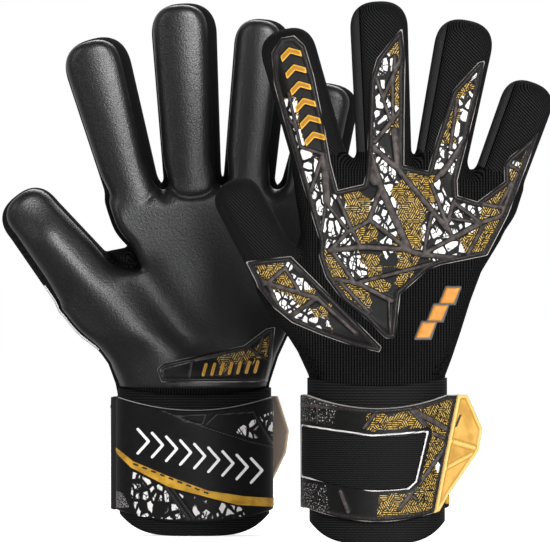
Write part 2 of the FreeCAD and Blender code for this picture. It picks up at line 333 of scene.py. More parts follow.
def surface_nets(field, origin, cell):
    """Quads on the field's zero surface, with points averaged from the edge crossings."""
    inside = field < 0
    nx, ny, nz = field.shape
    count = np.zeros((nx - 1, ny - 1, nz - 1), np.int8)
    corners = [(i, j, k) for i in (0, 1) for j in (0, 1) for k in (0, 1)]
    for i, j, k in corners:
        count += inside[i:nx - 1 + i, j:ny - 1 + j, k:nz - 1 + k]
    active = (count > 0) & (count < 8)
    cells = np.argwhere(active)
    number = np.full(active.shape, -1, np.int64)
    number[active] = np.arange(len(cells))
    total = np.zeros((len(cells), 3))
    hits = np.zeros(len(cells))
    for p in corners:
        for axis in range(3):
            if p[axis]:
                continue
            q = tuple(v + (1 if n == axis else 0) for n, v in enumerate(p))
            fa = field[tuple((cells + p).T)]
            fb = field[tuple((cells + q).T)]
            cut = (fa < 0) != (fb < 0)
            t = np.where(cut, fa / np.where(fa == fb, 1, fa - fb), 0)
            spot = np.array(p, float) + t[:, None] * (np.array(q) - np.array(p))
            total += spot * cut[:, None]
            hits += cut
    points = (cells + total / hits[:, None]) * cell + np.array(origin)
    quads = []
    for axis in range(3):
        b, c = (axis + 1) % 3, (axis + 2) % 3
        lo = [slice(None)] * 3
        hi = [slice(None)] * 3
        lo[axis], hi[axis] = slice(0, -1), slice(1, None)
        first, second = inside[tuple(lo)], inside[tuple(hi)]
        edges = np.argwhere(first != second)
        edges = edges[(edges[:, b] > 0) & (edges[:, c] > 0)]
        edges = edges[(edges[:, b] < field.shape[b] - 1) & (edges[:, c] < field.shape[c] - 1)]
        ring = []
        for db, dc in ((-1, -1), (0, -1), (0, 0), (-1, 0)):
            at = edges.copy()
            at[:, b] += db
            at[:, c] += dc
            ring.append(number[tuple(at.T)])
        ring = np.stack(ring, axis=1)
        keep = first[tuple(edges.T)]
        ring[~keep] = ring[~keep][:, ::-1]
        quads.append(ring)
    return points, np.concatenate(quads)


def relax(points, quads, times=2):
    """Smooth a mesh a little, keeping its size."""
    pairs = np.concatenate([quads[:, [i, (i + 1) % 4]] for i in range(4)])
    pairs = np.concatenate([pairs, pairs[:, ::-1]])
    weight = np.bincount(pairs[:, 0], minlength=len(points))[:, None]
    for turn in range(2 * times):
        total = np.zeros_like(points)
        for n in range(3):
            total[:, n] = np.bincount(pairs[:, 0], points[pairs[:, 1], n], len(points))
        points = points + (0.5 if turn % 2 == 0 else -0.52) * (total / np.maximum(weight, 1) - points)
    return points


def point_normals(points, quads):
    a = points[quads[:, 2]] - points[quads[:, 0]]
    b = points[quads[:, 3]] - points[quads[:, 1]]
    face = np.cross(a, b)
    out = np.zeros_like(points)
    for n in range(3):
        for m in range(4):
            out[:, n] += np.bincount(quads[:, m], face[:, n], len(points))
    return out / np.maximum(np.linalg.norm(out, axis=1, keepdims=True), 1e-12)


# ---- making pieces ----
def add_object(name, data):
    item = bpy.data.objects.new(name, data)
    bpy.context.scene.collection.objects.link(item)
    return item


def tube_faces(rows, around):
    """Quads of a tube whose points come row by row."""
    n = np.arange(rows * around).reshape(rows, around)
    on = np.roll(n, -1, axis=1)
    return np.stack([n[:-1], on[:-1], on[1:], n[1:]], axis=-1).reshape(-1, 4)


def make_piece(g, name, points, quads, material, extra=None, rest=None, normals=None):
    """A mesh object from local millimetres, with its rest place kept for the textures."""
    quads = np.asarray(quads)
    used = np.unique(quads)
    back = np.full(len(points), -1, np.int64)
    back[used] = np.arange(len(used))
    faces = back[quads]
    if g.sign < 0:
        faces = faces[:, ::-1]
    mesh = bpy.data.meshes.new(f"{g.name}_{name}")
    size = faces.shape[1]
    mesh.vertices.add(len(used))
    mesh.vertices.foreach_set("co", g.world(points[used]).ravel())
    mesh.loops.add(faces.size)
    mesh.loops.foreach_set("vertex_index", faces.ravel())
    mesh.polygons.add(len(faces))
    mesh.polygons.foreach_set("loop_start", np.arange(len(faces)) * size)
    mesh.update(calc_edges=True)
    mesh.validate()
    mesh.polygons.foreach_set("use_smooth", np.ones(len(mesh.polygons), bool))
    place = (points if rest is None else rest)[used]
    mesh.attributes.new("rest", "FLOAT_VECTOR", "POINT").data.foreach_set("vector", place.ravel())
    for key, value in (extra or {}).items():
        mesh.attributes.new(key, "FLOAT", "POINT").data.foreach_set("value", value[used])
    if normals is not None:
        turned = normals[used] * np.array([1.0, g.sign, 1.0])
        mesh.normals_split_custom_set_from_vertices(turned)
    mesh.materials.append(material)
    return add_object(f"{g.name}_{name}", mesh)


def split_by_body(g, points, quads):
    """Sort faces into hand, finger bases and finger tips. Returns {(finger, part): faces}."""
    centre = points[quads].mean(axis=1)
    owner = np.full(len(quads), -1)
    best = np.full(len(quads), 1e9)
    for n, f in enumerate(g.fingers.values()):
        u, s = f.axes(centre[:, 0], centre[:, 2])
        d = f.distance(centre[:, 0], centre[:, 2])
        on = (s > KNUCKLE) & (np.abs(u) < f.half(s) + 3) & (d < best)
        best[on] = d[on]
        owner[on] = n
    groups = {("hand", ""): quads[owner < 0]}
    for n, f in enumerate(g.fingers.values()):
        s = f.axes(centre[:, 0], centre[:, 2])[1]
        high = s > f.split - BEND / 2
        groups[(f.name, "base")] = quads[(owner == n) & ~high]
        groups[(f.name, "tip")] = quads[(owner == n) & high]
    return groups


def settle(g, piece, body, node, slot):
    """Put a piece on a body, in place of a CAD node. The slot is not used."""
    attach(piece, f"{g.name}_{body}")
    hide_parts(f"{g.name}_{node}")


def to_points(g, *places):
    return [tuple(g.world(np.array([p]))[0]) for p in places]


def bind(g, piece, part):
    """Bake a hand or finger piece's transform; the span of the joint that it crosses is worked out but
    nothing bends.
    """
    finger, level = part
    if finger == "hand":
        lo, hi = to_points(g, (0, 0, g.wrist - 3), (0, 0, g.wrist + 24))
        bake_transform(piece)
        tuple(lo)
        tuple(hi)
        return
    f = g.fingers[finger]
    if level == "base":
        span = (KNUCKLE, min(KNUCKLE + BEND, f.split - BEND / 2))
    else:
        span = (f.split - BEND / 2, f.split + BEND / 2)
    low, high = f.point(0, span[0]), f.point(0, span[1])
    lo, hi = to_points(g, (low[0], 0, low[1]), (high[0], 0, high[1]))
    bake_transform(piece)
    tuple(lo)
    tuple(hi)


# ---- shader building ----
class Value:
    """A shader value that takes plain arithmetic."""

    def __init__(self, shader, socket):
        self.shader, self.socket = shader, socket

    def __abs__(self):
        return self.shader.math("ABSOLUTE", self)

    def __rsub__(self, other):
        return self.shader.math("SUBTRACT", other, self)


for sign, word in (("add", "ADD"), ("sub", "SUBTRACT"), ("mul", "MULTIPLY"), ("truediv", "DIVIDE"),
                   ("mod", "MODULO"), ("gt", "GREATER_THAN"), ("lt", "LESS_THAN")):
    setattr(Value, f"__{sign}__", lambda a, b, word=word: a.shader.math(word, a, b))


class Shader:
    """A material whose nodes are added by short calls that give back values."""

    def __init__(self, name, rough=0.6, specular=0.5):
        self.material = bpy.data.materials.new(name)
        self.material.use_nodes = True
        self.tree = self.material.node_tree
        self.bsdf = self.tree.nodes["Principled BSDF"]
        self.feed(self.bsdf.inputs["Roughness"], rough)
        self.feed(self.bsdf.inputs["Specular IOR Level"], specular)
        self.rest = self.attribute("rest", "Vector")

    def feed(self, socket, value):
        if isinstance(value, Value):
            self.tree.links.new(value.socket, socket)
        else:
            socket.default_value = value

    def node(self, kind, inputs, output=0, **settings):
        """Add a node with these settings and inputs, and give back one of its outputs."""
        node = self.tree.nodes.new("ShaderNode" + kind)
        for key, value in settings.items():
            setattr(node, key, value)
        for key, value in dict(inputs).items():
            self.feed(node.inputs[key], value)
        return Value(self, node.outputs[output])

    def attribute(self, name, output="Fac"):
        return self.node("Attribute", {}, output, attribute_name=name)

    def math(self, operation, *values):
        return self.node("Math", enumerate(values), operation=operation)

    def step(self, value, low, high):
        """0 below low, 1 above high, smooth between. low may be the larger."""
        turned = float(low > high)
        inputs = {"Value": value, "From Min": min(low, high), "From Max": max(low, high),
                  "To Min": turned, "To Max": 1.0 - turned}
        return self.node("MapRange", inputs, "Result", interpolation_type="SMOOTHSTEP")

    def split(self, vector):
        return [self.node("SeparateXYZ", {0: vector}, axis) for axis in range(3)]

    def noise(self, scale, detail=3.0, output="Fac"):
        return self.node("TexNoise", {"Vector": self.rest, "Scale": scale, "Detail": detail}, output)

    def voronoi(self, scale, feature="DISTANCE_TO_EDGE", vector=None, output="Distance"):
        inputs = {"Vector": vector or self.rest, "Scale": scale}
        return self.node("TexVoronoi", inputs, output, feature=feature)

    def wave(self, value, period):
        """Ridges, 0 to 1, one for every period."""
        return self.math("SINE", value * (2 * math.pi / period)) * 0.5 + 0.5

    def mix(self, factor, a, b):
        a, b = (v if isinstance(v, Value) else (*v, 1.0) for v in (a, b))
        return self.node("Mix", {"Factor": factor, "A": a, "B": b}, "Result", data_type="RGBA")

    def finish(self, color, height, depth):
        """Set the colour and a bump of this depth in millimetres."""
        self.feed(self.bsdf.inputs["Base Color"], color)
        bump = self.node("Bump", {"Height": height, "Distance": depth * MM, "Strength": 1.0})
        self.feed(self.bsdf.inputs["Normal"], bump)
        return self.material


WHITE = (0.56, 0.54, 0.54)


def grey(value, blue=0.0):
    return (value, value, value + blue)


def latex_material():
    """Foam latex: dark grey with a fine pebbled grain."""
    s = Shader("latex", specular=0.55)
    fine = s.noise(1.8)
    height = s.voronoi(1.05, "SMOOTH_F1") * -0.8 + fine * 0.7
    tone = s.noise(0.9, 4.0) * 0.5 + fine * 0.5
    s.feed(s.bsdf.inputs["Roughness"], s.noise(0.15) * 0.12 + 0.35)
    return s.finish(s.mix(s.step(tone, 0.25, 0.75), grey(0.002, 0.0003), grey(0.010, 0.001)), height, 0.13)


def knit_material():
    """Black knit with fine upright ribs."""
    s = Shader("knit", rough=0.85, specular=0.02)
    x, y, z = s.split(s.rest)
    height = s.wave(x, 1.5) + s.wave(z, 1.5) * 0.35 + s.noise(1.2) * 0.5
    return s.finish(s.mix(s.step(height, 0.5, 1.5), grey(0.0008), grey(0.0092, 0.0004)), height, 0.22)


def twill_material():
    """Black twill of two slanted sets of threads, with a lighter gusset beside each fold line."""
    s = Shader("twill", rough=0.8, specular=0.03)
    x, y, z = s.split(s.rest)
    height = s.wave(x + z, 1.9) * 0.8 + s.wave(x * 1.4 - z, 1.9) * 0.4 + s.noise(1.6) * 0.35
    color = s.mix(s.step(height, 0.45, 1.15), grey(0.0008), grey(0.012, 0.0005))
    fold = s.attribute("fold")
    gusset = s.mix(height, grey(0.005), grey(0.024, 0.0005))
    color = s.mix(s.step(fold, 0.2, -0.2) * (fold > -8.5), color, gusset)
    color = s.mix(s.step(abs(fold), 0.55, 0.25), color, grey(0.0008))
    return s.finish(color, height, 0.2)


def elastic_material(name, period):
    """Woven elastic with level ribs broken into short stitches."""
    s = Shader(name, rough=0.7, specular=0.10)
    x, y, z = s.split(s.rest)
    shift = s.math("FLOOR", z / period) % 2.0 * 1.1
    height = s.wave(z, period) * (s.wave(x + shift, 2.2) * 0.45 + 0.55)
    return s.finish(s.mix(height, grey(0.001), grey(0.010, 0.0005)), height, 0.22)


def white_cells(s, scale, spread=0.125):
    """White blobs parted by dark cracks: large cells broken by smaller ones."""
    push = s.node("VectorMath", {0: s.noise(0.25, 2.0, "Color"), "Scale": 2.4}, operation="SCALE")
    bent = s.node("VectorMath", {0: s.rest, 1: push}, operation="ADD")
    flat = s.node("Mapping", {"Vector": bent, "Scale": (1.0, 0.0, 0.72)})
    crack = s.step(s.voronoi(scale * 2.1, vector=flat), 0.05, 0.11)
    whole = 1.0 - s.step(s.noise(0.11, 1.0), 0.47, 0.53)
    kept = s.split(s.voronoi(scale, "F1", flat, "Color"))[1] < 0.93
    large = s.step(s.voronoi(scale, vector=flat), spread * 0.62, spread)
    return large * s.math("MAXIMUM", crack, whole) * kept


def gold_dashes(s, size=2.9):
    """Short gold bars in three directions, as the faces of tumbling blocks."""
    x, y, z = s.split(s.rest)
    flat = s.node("CombineXYZ", {0: x, 2: z})
    pick = s.split(s.voronoi(1 / size, "F1", flat, "Color"))[0]
    bars = []
    for n, turn in enumerate(np.radians([0.0, 60.0, 120.0])):
        across = x * -math.sin(turn) + z * math.cos(turn)
        bars.append(s.step(s.wave(across, 1.12), 0.42, 0.58) * (pick > n / 3) * (pick < (n + 1) / 3))
    return (bars[0] + bars[1] + bars[2]) * s.step(s.voronoi(1 / size, vector=flat), 0.03, 0.07)


def print_material(name, rough=0.48, specular=0.12):
    """Embossed latex: dark struts between shards of white cells, gold dashes or plain black."""
    s = Shader(name, rough, specular)
    strut, fill, edge, mark = (s.attribute(key) for key in ("strut", "fill", "edge", "mark"))
    white = white_cells(s, 0.185) * (fill > 1.5) * (fill < 2.5)
    gold = gold_dashes(s) * (fill > 0.5) * (fill < 1.5)
    # painted shadow: white cells and gold dashes stop 0.3 to 0.6 mm short of each raised strut, leaving a
    # dark band of ground along both its sides
    beyond_strut_shadow = s.step(strut, 0.30, 0.60)
    ground = s.mix(s.noise(0.2), grey(0.002), (0.006, 0.0057, 0.0055))
    color = s.mix(white * beyond_strut_shadow, ground, WHITE)
    tone = s.mix(s.step(s.noise(0.5), 0.35, 0.65), (0.20, 0.125, 0.022), (0.40, 0.27, 0.07))
    color = s.mix(gold * beyond_strut_shadow, color, tone)
    bar = s.mix(s.step(s.noise(0.35, 4.0), 0.3, 0.7), (0.022, 0.018, 0.017), (0.060, 0.050, 0.047))
    between = s.step(strut, -0.15, 0.15)
    color = s.mix(between, bar, color)
    color = s.mix(s.step(edge, 3.6, 2.2), color, (0.010, 0.009, 0.009))
    stitch = s.step(abs(edge - 1.6), 0.32, 0.16) * s.step(s.voronoi(0.75), 0.10, 0.16)
    color = s.mix(stitch * 0.55, color, (0.06, 0.052, 0.05))
    # pale line on the panel's cut edge, broken by noise: partly the foam's own pale cut edge, partly a
    # painted highlight
    rim = s.step(edge, 0.42, 0.22) * s.step(s.noise(0.06, 1.0), 0.40, 0.56)
    color = s.mix(rim, color, (0.36, 0.34, 0.32))
    raised = s.mix(s.step(mark, -0.9, -0.35), (0.24, 0.11, 0.01), (0.46, 0.25, 0.032))
    color = s.mix(s.step(mark, 0.10, -0.10), color, raised)
    speckle = s.step(s.noise(1.2, 4.0), 0.58, 0.63) * (fill < -0.5)
    color = s.mix(speckle * between, color, (0.30, 0.28, 0.28))
    if name == "strap_print":
        color = s.mix(s.step(s.attribute("line"), 0.55, 0.30), color, (0.48, 0.46, 0.46))
        # painted highlight: a pale line along the flap's top edge only
        color = s.mix(s.step(s.attribute("rail"), 0.65, 0.35), color, (0.26, 0.25, 0.24))
        color = s.mix(s.attribute("under"), color, grey(0.007))
    relief = s.math("MAXIMUM", white, gold) * between
    return s.finish(color, relief * 0.5 + s.noise(2.2, 4.0) * 0.35, 0.20)


def strap_palm_material():
    """Satin strap with white strokes, a gold stripe and white cells."""
    s = Shader("strap_palm", rough=0.5, specular=0.10)
    inside = lambda key, soft: s.step(s.attribute(key), soft, -soft)
    white = white_cells(s, 0.21, 0.19) * inside("cells", 0.1)
    color = s.mix(s.noise(0.3, 4.0), grey(0.003, 0.0003), grey(0.008, 0.0004))
    color = s.mix(white, color, WHITE)
    color = s.mix(inside("strokes", 0.1), color, (0.66, 0.65, 0.65))
    shine = s.mix(s.step(s.noise(0.12), 0.35, 0.65), (0.26, 0.13, 0.012), (0.46, 0.26, 0.03))
    stripe = inside("stripe", 0.08)
    color = s.mix(stripe, color, shine)
    color = s.mix(inside("dashes", 0.08) * stripe, color, (0.03, 0.02, 0.01))
    groove = s.step(abs(s.attribute("groove")), 0.5, 0.2)
    color = s.mix(groove * 0.8, color, (0.05, 0.046, 0.045))
    speckle = s.step(s.noise(1.5, 4.0), 0.50, 0.58) * inside("speckle", 0.2)
    color = s.mix(speckle, color, (0.30, 0.28, 0.28))
    # painted highlight: a pale line along the strap's top edge only
    color = s.mix(s.step(s.attribute("rail"), 0.45, 0.2), color, (0.42, 0.40, 0.39))
    return s.finish(color, s.noise(2.6, 4.0) * 0.5 + white * 0.4, 0.12)


def gold_material():
    """Moulded gold rubber, lighter along its raised edges."""
    s = Shader("gold", rough=0.42, specular=0.3)
    color = s.mix(s.step(s.noise(0.09, 2.0), 0.35, 0.65), (0.31, 0.165, 0.028), (0.45, 0.26, 0.055))
    edge = s.attribute("edge")
    raised = s.math("MAXIMUM", s.step(edge, 1.9, 1.4), s.attribute("raise"))
    color = s.mix(raised, color, (0.53, 0.34, 0.10))
    line = s.math("MINIMUM", s.attribute("groove"), abs(edge - 2.3))
    color = s.mix(s.step(line, 0.55, 0.15) * s.step(edge, 1.5, 2.0), color, (0.30, 0.15, 0.015))
    color = s.mix(s.step(s.attribute("ink"), 0.15, -0.15), color, (0.03, 0.025, 0.02))
    color = s.mix(s.attribute("under"), color, (0.36, 0.29, 0.24))
    return s.finish(color, s.noise(2.5, 4.0), 0.06)


def plain_material(name, color, rough=0.6, grain=1.4, depth=0.08, specular=0.4):
    """One colour with a little variation and a fine grain."""
    s = Shader(name, rough, specular)
    darker = tuple(0.72 * c for c in color)
    return s.finish(s.mix(s.noise(0.4, 4.0), darker, color), s.noise(grain, 4.0), depth)


# ---- raised panels on the hand ----
def back_surface(g, x, z):
    """Depth of the fabric's back face, rounded off near the outline."""
    into = np.clip(CORNER + silhouette(g, x, z), 0, CORNER)
    return back_bulge(g, x, z) - (CORNER - np.sqrt(CORNER ** 2 - into ** 2))


def palm_surface(g, x, z):
    """Depth of the latex face, rounded off near its edge."""
    into = np.clip(PAD_EDGE + silhouette(g, x, z, PALM_INSET, PAD_INSET, PAD_SHIFT), 0, PAD_EDGE)
    return -palm_bulge(g, x, z) + (PAD_EDGE - np.sqrt(PAD_EDGE ** 2 - into ** 2))


def on_hand(g, spots):
    """Local XZ of points given by cuff half widths across, and 0 at the wrist to 1 at the knuckles."""
    knuckles = np.mean([g.fingers[f].z for f in FINGERS[:4]])
    return [(u * g.a, g.wrist + v * (knuckles - g.wrist)) for u, v in spots]


def on_glove(g, groups):
    """Local XZ of points on the hand, or on a finger in half widths across and millimetres along."""
    out = []
    for where, spots in groups:
        if where == "hand":
            out += on_hand(g, spots)
            continue
        f = g.fingers[where]
        out += [f.point(u * f.half(v), v * f.length / 80 if v > 0 else v) for u, v in spots]
    return np.array(out)


def filling(x, z, seeds):
    """The fill of the nearest seed."""
    spots = [(sx, sz, fill) for fill, own in seeds.items() for sx, sz in own]
    d = np.stack([np.hypot(x - sx, z - sz) for sx, sz, _ in spots])
    return np.array([fill for _, _, fill in spots], float)[np.argmin(d, axis=0)]


def flat_mesh(outline, cell, distance_of):
    """Square mesh that fills an outline, with its border moved onto the outline's line."""
    lo, hi = outline.min(axis=0) - 2 * cell, outline.max(axis=0) + 2 * cell
    x, z = np.arange(lo[0], hi[0], cell), np.arange(lo[1], hi[1], cell)
    X, Z = np.meshgrid(x, z, indexing="ij")
    D = distance_of(X, Z)
    keep = D < 0.35 * cell
    number = np.arange(X.size).reshape(X.shape)
    full = keep[:-1, :-1] & keep[1:, :-1] & keep[1:, 1:] & keep[:-1, 1:]
    quads = np.stack([number[:-1, :-1], number[1:, :-1], number[1:, 1:], number[:-1, 1:]], axis=-1)[full]
    flat = np.stack([X.ravel(), Z.ravel()], axis=1)
    edges = np.concatenate([quads[:, [i, (i + 1) % 4]] for i in range(4)])
    key = np.sort(edges, axis=1)
    code = key[:, 0] * X.size + key[:, 1]
    _, index, times = np.unique(code, return_index=True, return_counts=True)
    border = edges[index[times == 1]]
    rim = np.unique(border)
    for turn in range(3):
        p = flat[rim]
        d = distance_of(p[:, 0], p[:, 1])
        gx = distance_of(p[:, 0] + 0.1, p[:, 1]) - distance_of(p[:, 0] - 0.1, p[:, 1])
        gz = distance_of(p[:, 0], p[:, 1] + 0.1) - distance_of(p[:, 0], p[:, 1] - 0.1)
        size = np.maximum(np.hypot(gx, gz), 1e-6)
        step = np.clip(d, -0.9 * cell, 0.9 * cell) / size
        flat[rim] = p - np.stack([gx, gz], axis=1) * step[:, None]
    used = np.unique(quads)
    renumber = np.full(X.size, -1, np.int64)
    renumber[used] = np.arange(len(used))
    return flat[used], renumber[quads], renumber[border]


def close_relief(flat, quads, border, top, bottom, side):
    """Top sheet, underside and rim as one closed mesh. side is +1 on the back, -1 on the palm."""
    n = len(flat)
    points = np.concatenate([
        np.stack([flat[:, 0], top, flat[:, 1]], axis=1),
        np.stack([flat[:, 0], bottom, flat[:, 1]], axis=1),
    ])
    if side > 0:
        quads, border = quads[:, ::-1], border[:, ::-1]
    wall = np.stack([border[:, 1], border[:, 0], border[:, 0] + n, border[:, 1] + n], axis=1)
    return points, np.concatenate([quads, quads[:, ::-1] + n, wall])


def panel_piece(g, name, outline, seeds, struts, material, side=1, marks=None, rim=2.6, node=None):
    """An embossed panel: raised struts between shards, split where it crosses joints."""
    distance = lambda x, z: np.maximum(polygon_distance(x, z, outline), silhouette(g, x, z) + 0.9)
    surface = back_surface if side > 0 else palm_surface
    flat, quads, border = flat_mesh(outline, FINE, distance)
    x, z = flat[:, 0], flat[:, 1]
    base = surface(g, x, z)
    inside = -distance(x, z)
    fill = filling(x, z, seeds)
    bars = np.minimum(strut_distance(x, z, struts), inside - rim)
    mark = marks(x, z) if marks else np.full(len(x), FAR)
    lift = 0.9 + 0.9 * smoothstep(-bars, -0.45, 0.45) + 0.8 * smoothstep(-mark, -0.3, 0.6)
    lift = lift * (0.35 + 0.65 * smoothstep(inside, 0.0, 1.1))
    extra = {"strut": bars, "fill": fill, "edge": inside, "mark": mark}
    points, faces = close_relief(flat, quads, border, base + side * lift, base - side * 1.0, side)
    extra = {k: np.tile(v, 2) for k, v in extra.items()}
    normals = point_normals(points, faces)
    for part, own in split_by_body(g, points, faces).items():
        if len(own) < 6:
            continue
        label = "_".join(p for p in (name,) + part if p and p != "hand") or name
        piece = make_piece(g, label, points, own, material, extra, normals=normals)
        bind(g, piece, part)
    if node:
        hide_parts(f"{g.name}_{node}")


# the big panel's outline, round from the index finger's outer edge
BACK_OUTLINE = [
    ("index", [(-0.84, -38), (-0.86, -10), (-0.88, 20), (-0.84, 52), (-0.62, 69), (-0.15, 76), (0.35, 75),
        (0.62, 68), (0.64, 50), (0.52, 24), (0.36, 0), (0.34, -15)]),
    ("middle", [(-0.80, -13.5), (-0.70, -8), (-0.60, 5), (-0.40, 40), (-0.12, 51), (0.45, 61), (0.80, 66),
        (0.88, 50), (0.78, 20), (0.72, -4)]),
    ("ring", [(-0.42, -6), (-0.34, 10), (-0.18, 28), (-0.08, 40), (0.62, 58), (0.84, 60), (0.88, 40),
        (0.84, 16), (0.76, -8), (0.90, -16)]),
    ("little", [(-0.50, -14.5), (0.24, 1), (-0.02, 13), (0.10, 20), (0.84, 46), (0.86, 14), (0.84, -16)]),
    ("hand", [(1.62, 0.575), (0.93, 0.53), (0.74, 0.505), (0.34, 0.39), (0.27, 0.18), (0.12, 0.18),
        (-0.18, 0.275), (-0.50, 0.355), (-0.76, 0.47), (-0.86, 0.57)]),
]
BLANK, DASHED, CELLED, SPECKLED = 0, 1, 2, -1
# what fills the panel near each point, in millimetres on the right glove
BACK_SEEDS = {
    DASHED: [(-11.2, 179.5), (-11, 184), (-5.9, 165.8), (18.4, 176.4), (16.8, 187.8), (18.4, 164.3),
        (12.5, 160.6), (25.2, 191.6), (28, 186), (16.1, 150.7), (15.3, 142.3), (-3.5, 152.5),
        (-1.0, 146.0), (1.7, 138.0), (-24.1, 147.7), (-15.5, 136.5), (-8.9, 129.2), (61.1, 177.2),
        (59, 162.8), (64, 168), (48.7, 160), (65.2, 186.2), (70.7, 185.5), (72.8, 198.3), (79, 204.1),
        (11.8, 265.4), (11.8, 248.7), (11.0, 240), (10.6, 223.3), (47.8, 245), (38.5, 225.2),
        (36.5, 218)],
    CELLED: [(-37.7, 204.5), (-32.4, 190.1), (-33.2, 178.7), (-22.6, 181), (-25.6, 171.9), (-18, 162),
        (-15, 152.2), (-8.9, 145.4), (4.7, 217.4), (5.5, 199.2), (3.2, 179.5), (5.6, 171), (5.5, 162.8),
        (6.2, 152), (30.5, 169.6), (29.7, 162.8), (35, 189.3), (32.8, 179.5), (39.6, 199.9),
        (44.9, 178.7), (44.1, 169.6), (34.3, 156.7), (43.4, 157.5), (50.7, 180), (74.9, 206.2),
        (69.5, 200.5), (5, 250), (7.5, 257), (0, 233.2), (0, 223.9), (5.6, 235), (4.4, 213.4),
        (3.1, 205.3), (53.3, 250), (50.9, 240.7), (44, 222), (41.6, 206), (38.5, 200), (-47.5, 232.8),
        (-45.2, 219.2), (-31.5, 198.5), (36.5, 211)],
    BLANK: [(-25.6, 194.2), (-24, 203), (-30, 213), (-36, 222), (-38, 234), (-41, 247), (-44, 260),
        (-50, 246), (-7, 200), (-5.5, 192), (0.2, 123.4), (6.5, 128), (9, 133), (2, 132.5), (6.0, 145),
        (-3, 158), (25, 146.5)],
}
# raised struts: start, end and half width, in millimetres on the right glove
BACK_STRUTS = [
    (-25.6, 157.5, -15.7, 167.4, 1.1), (-15.7, 167.4, -4.4, 173.4, 1.1), (-4.4, 173.4, 1.7, 190.8, 1.2),
    (-4.0, 173.8, 15.3, 159.0, 1.1), (-2.1, 212.8, 10.8, 201.4, 1.4), (10.8, 201.4, 38.8, 167.4, 1.4),
    (-3.6, 208, 2.4, 190, 1.9), (2.4, 190, 16.1, 159.8, 2.0), (-25.6, 157.5, -7.4, 159.4, 1.5),
    (-7.4, 159.4, 15.3, 158, 1.4), (15.3, 158, 23.7, 155.2, 1.5), (23.7, 155.2, 52, 152.5, 1.3),
    (23.7, 155.2, 40.3, 163.9, 1.1), (40.3, 163.9, 55.6, 172.4, 1.5), (-24.1, 156.7, -12.5, 140.6, 1.0),
    (-12.5, 139.7, 29.0, 150.3, 1.0), (29, 150.3, 50, 153, 0.9), (-22.6, 142.3, -10.4, 139.7, 1.1),
    (-10.4, 139.7, 7.7, 130.5, 1.2), (-27.5, 183.3, -15.7, 167.4, 0.8), (-21, 185.5, -14.2, 169.6, 1.0),
    (-14.2, 169.6, -8.9, 159, 0.9), (40.3, 163.9, 32, 185.5, 1.0), (32, 185.5, 29, 192.6, 0.9),
    (25.2, 157.5, 29, 176.4, 0.9), (38.1, 173.4, 41.1, 184, 1.0), (38.3, 174.7, 55.6, 172.4, 0.7),
    (31.2, 195.4, 38, 204, 1.2), (34.7, 198.5, 47.1, 216.5, 1.6), (6.2, 131, 7.0, 112, 0.5),
    (-21, 141.6, -4.4, 124.2, 0.9), (55.6, 172.4, 41.8, 182.7, 0.9), (55.6, 172.4, 66.6, 175.9, 1.2),
    (66.6, 175.9, 75.5, 197.9, 1.2), (54.9, 182.7, 68.7, 180, 1.0), (68.7, 204.8, 76.9, 200, 0.9),
    (48, 154.5, 56.3, 169.7, 1.0), (72.1, 193.8, 65.2, 180.7, 0.8), (-1.2, 215.9, 11.8, 232, 1.1),
    (-0.6, 250, 6.9, 227.6, 0.8), (2.5, 238.2, 13.7, 262.4, 1.1), (9.1, 222, 11.2, 202.2, 1.9),
    (42.8, 238.2, 39.1, 212.1, 0.9), (51.5, 238.2, 47.8, 220.8, 1.2), (-29.3, 209.3, -35.4, 189.7, 1.0),
    (-50.6, 231.3, -43.7, 223.7, 0.7), (-47.8, 242, -41.2, 213.1, 0.6), (-41.2, 213.1, -30, 209.5, 0.8),
    (-28.5, 206, -27.0, 184.0, 2.0), (-27.5, 183.3, -30.0, 168, 0.7), (-6.0, 204, -1.5, 194, 2.0),
    (9.6, 262, 8.3, 246, 0.9), (8.3, 246, 8.3, 226, 0.8),
]
THUMB_OUTLINE = [
    (-73.6, 151.0), (-60.0, 153.0), (-46.3, 154.4), (-43.1, 151.2), (-20.9, 129.1), (2.3, 105.8),
    (1.2, 102.8), (-12.8, 106.0), (-30.0, 112.0), (-45.8, 118.6), (-55.5, 126.5), (-65.0, 138.5),
]
THUMB_SEEDS = {
    DASHED: [(-58.8, 148.8), (-50.5, 145.7), (-48.5, 138.5), (-39, 131.1), (-31, 125.6)],
    CELLED: [(-70, 144.7), (-65, 133.3), (-51.5, 130.2), (-46.4, 149.5), (-40.5, 141), (-38, 122.1),
        (-30, 117.8), (-45.5, 125.5)],
    BLANK: [(-18, 116), (-10, 112), (-22, 121), (-32, 128.5)],
}
THUMB_STRUTS = [
    (-59, 139.8, -49.5, 148.0, 1.1), (-59, 139.8, -74, 150.5, 1.0), (-59, 139.8, -32.5, 132.0, 1.2),
    (-32.5, 132.0, -46, 122.6, 1.3), (-59, 139.8, -69, 137.0, 0.8), (-49.5, 148, -42.5, 136.5, 0.8),
    (-59, 139.8, -52, 124.5, 0.9), (-32.5, 132, -12, 113.5, 1.0),
]
PATCH_OUTLINE = [
    ("hand", [(-0.44, 0.02), (-0.50, 0.085), (-0.42, 0.115), (0.0, 0.15), (0.66, 0.205), (0.96, 0.29),
        (1.08, 0.30), (1.04, 0.14), (0.98, 0.02)]),
]
PATCH_SEEDS = {
    DASHED: [(0.40, 0.145), (0.62, 0.165), (0.96, 0.20)],
    BLANK: [(-0.30, 0.07), (0.20, 0.09), (0.84, 0.25), (0.60, 0.06), (1.0, 0.08), (0.22, 0.14)],
}
PATCH_STRUTS = [
    (-0.02, 0.145, -0.06, 0.03, 0.5), (-0.06, 0.035, 1.0, 0.03, 1.0), (0.68, 0.205, 0.98, 0.13, 0.5),
    (0.94, 0.285, 0.86, 0.17, 0.6),
]


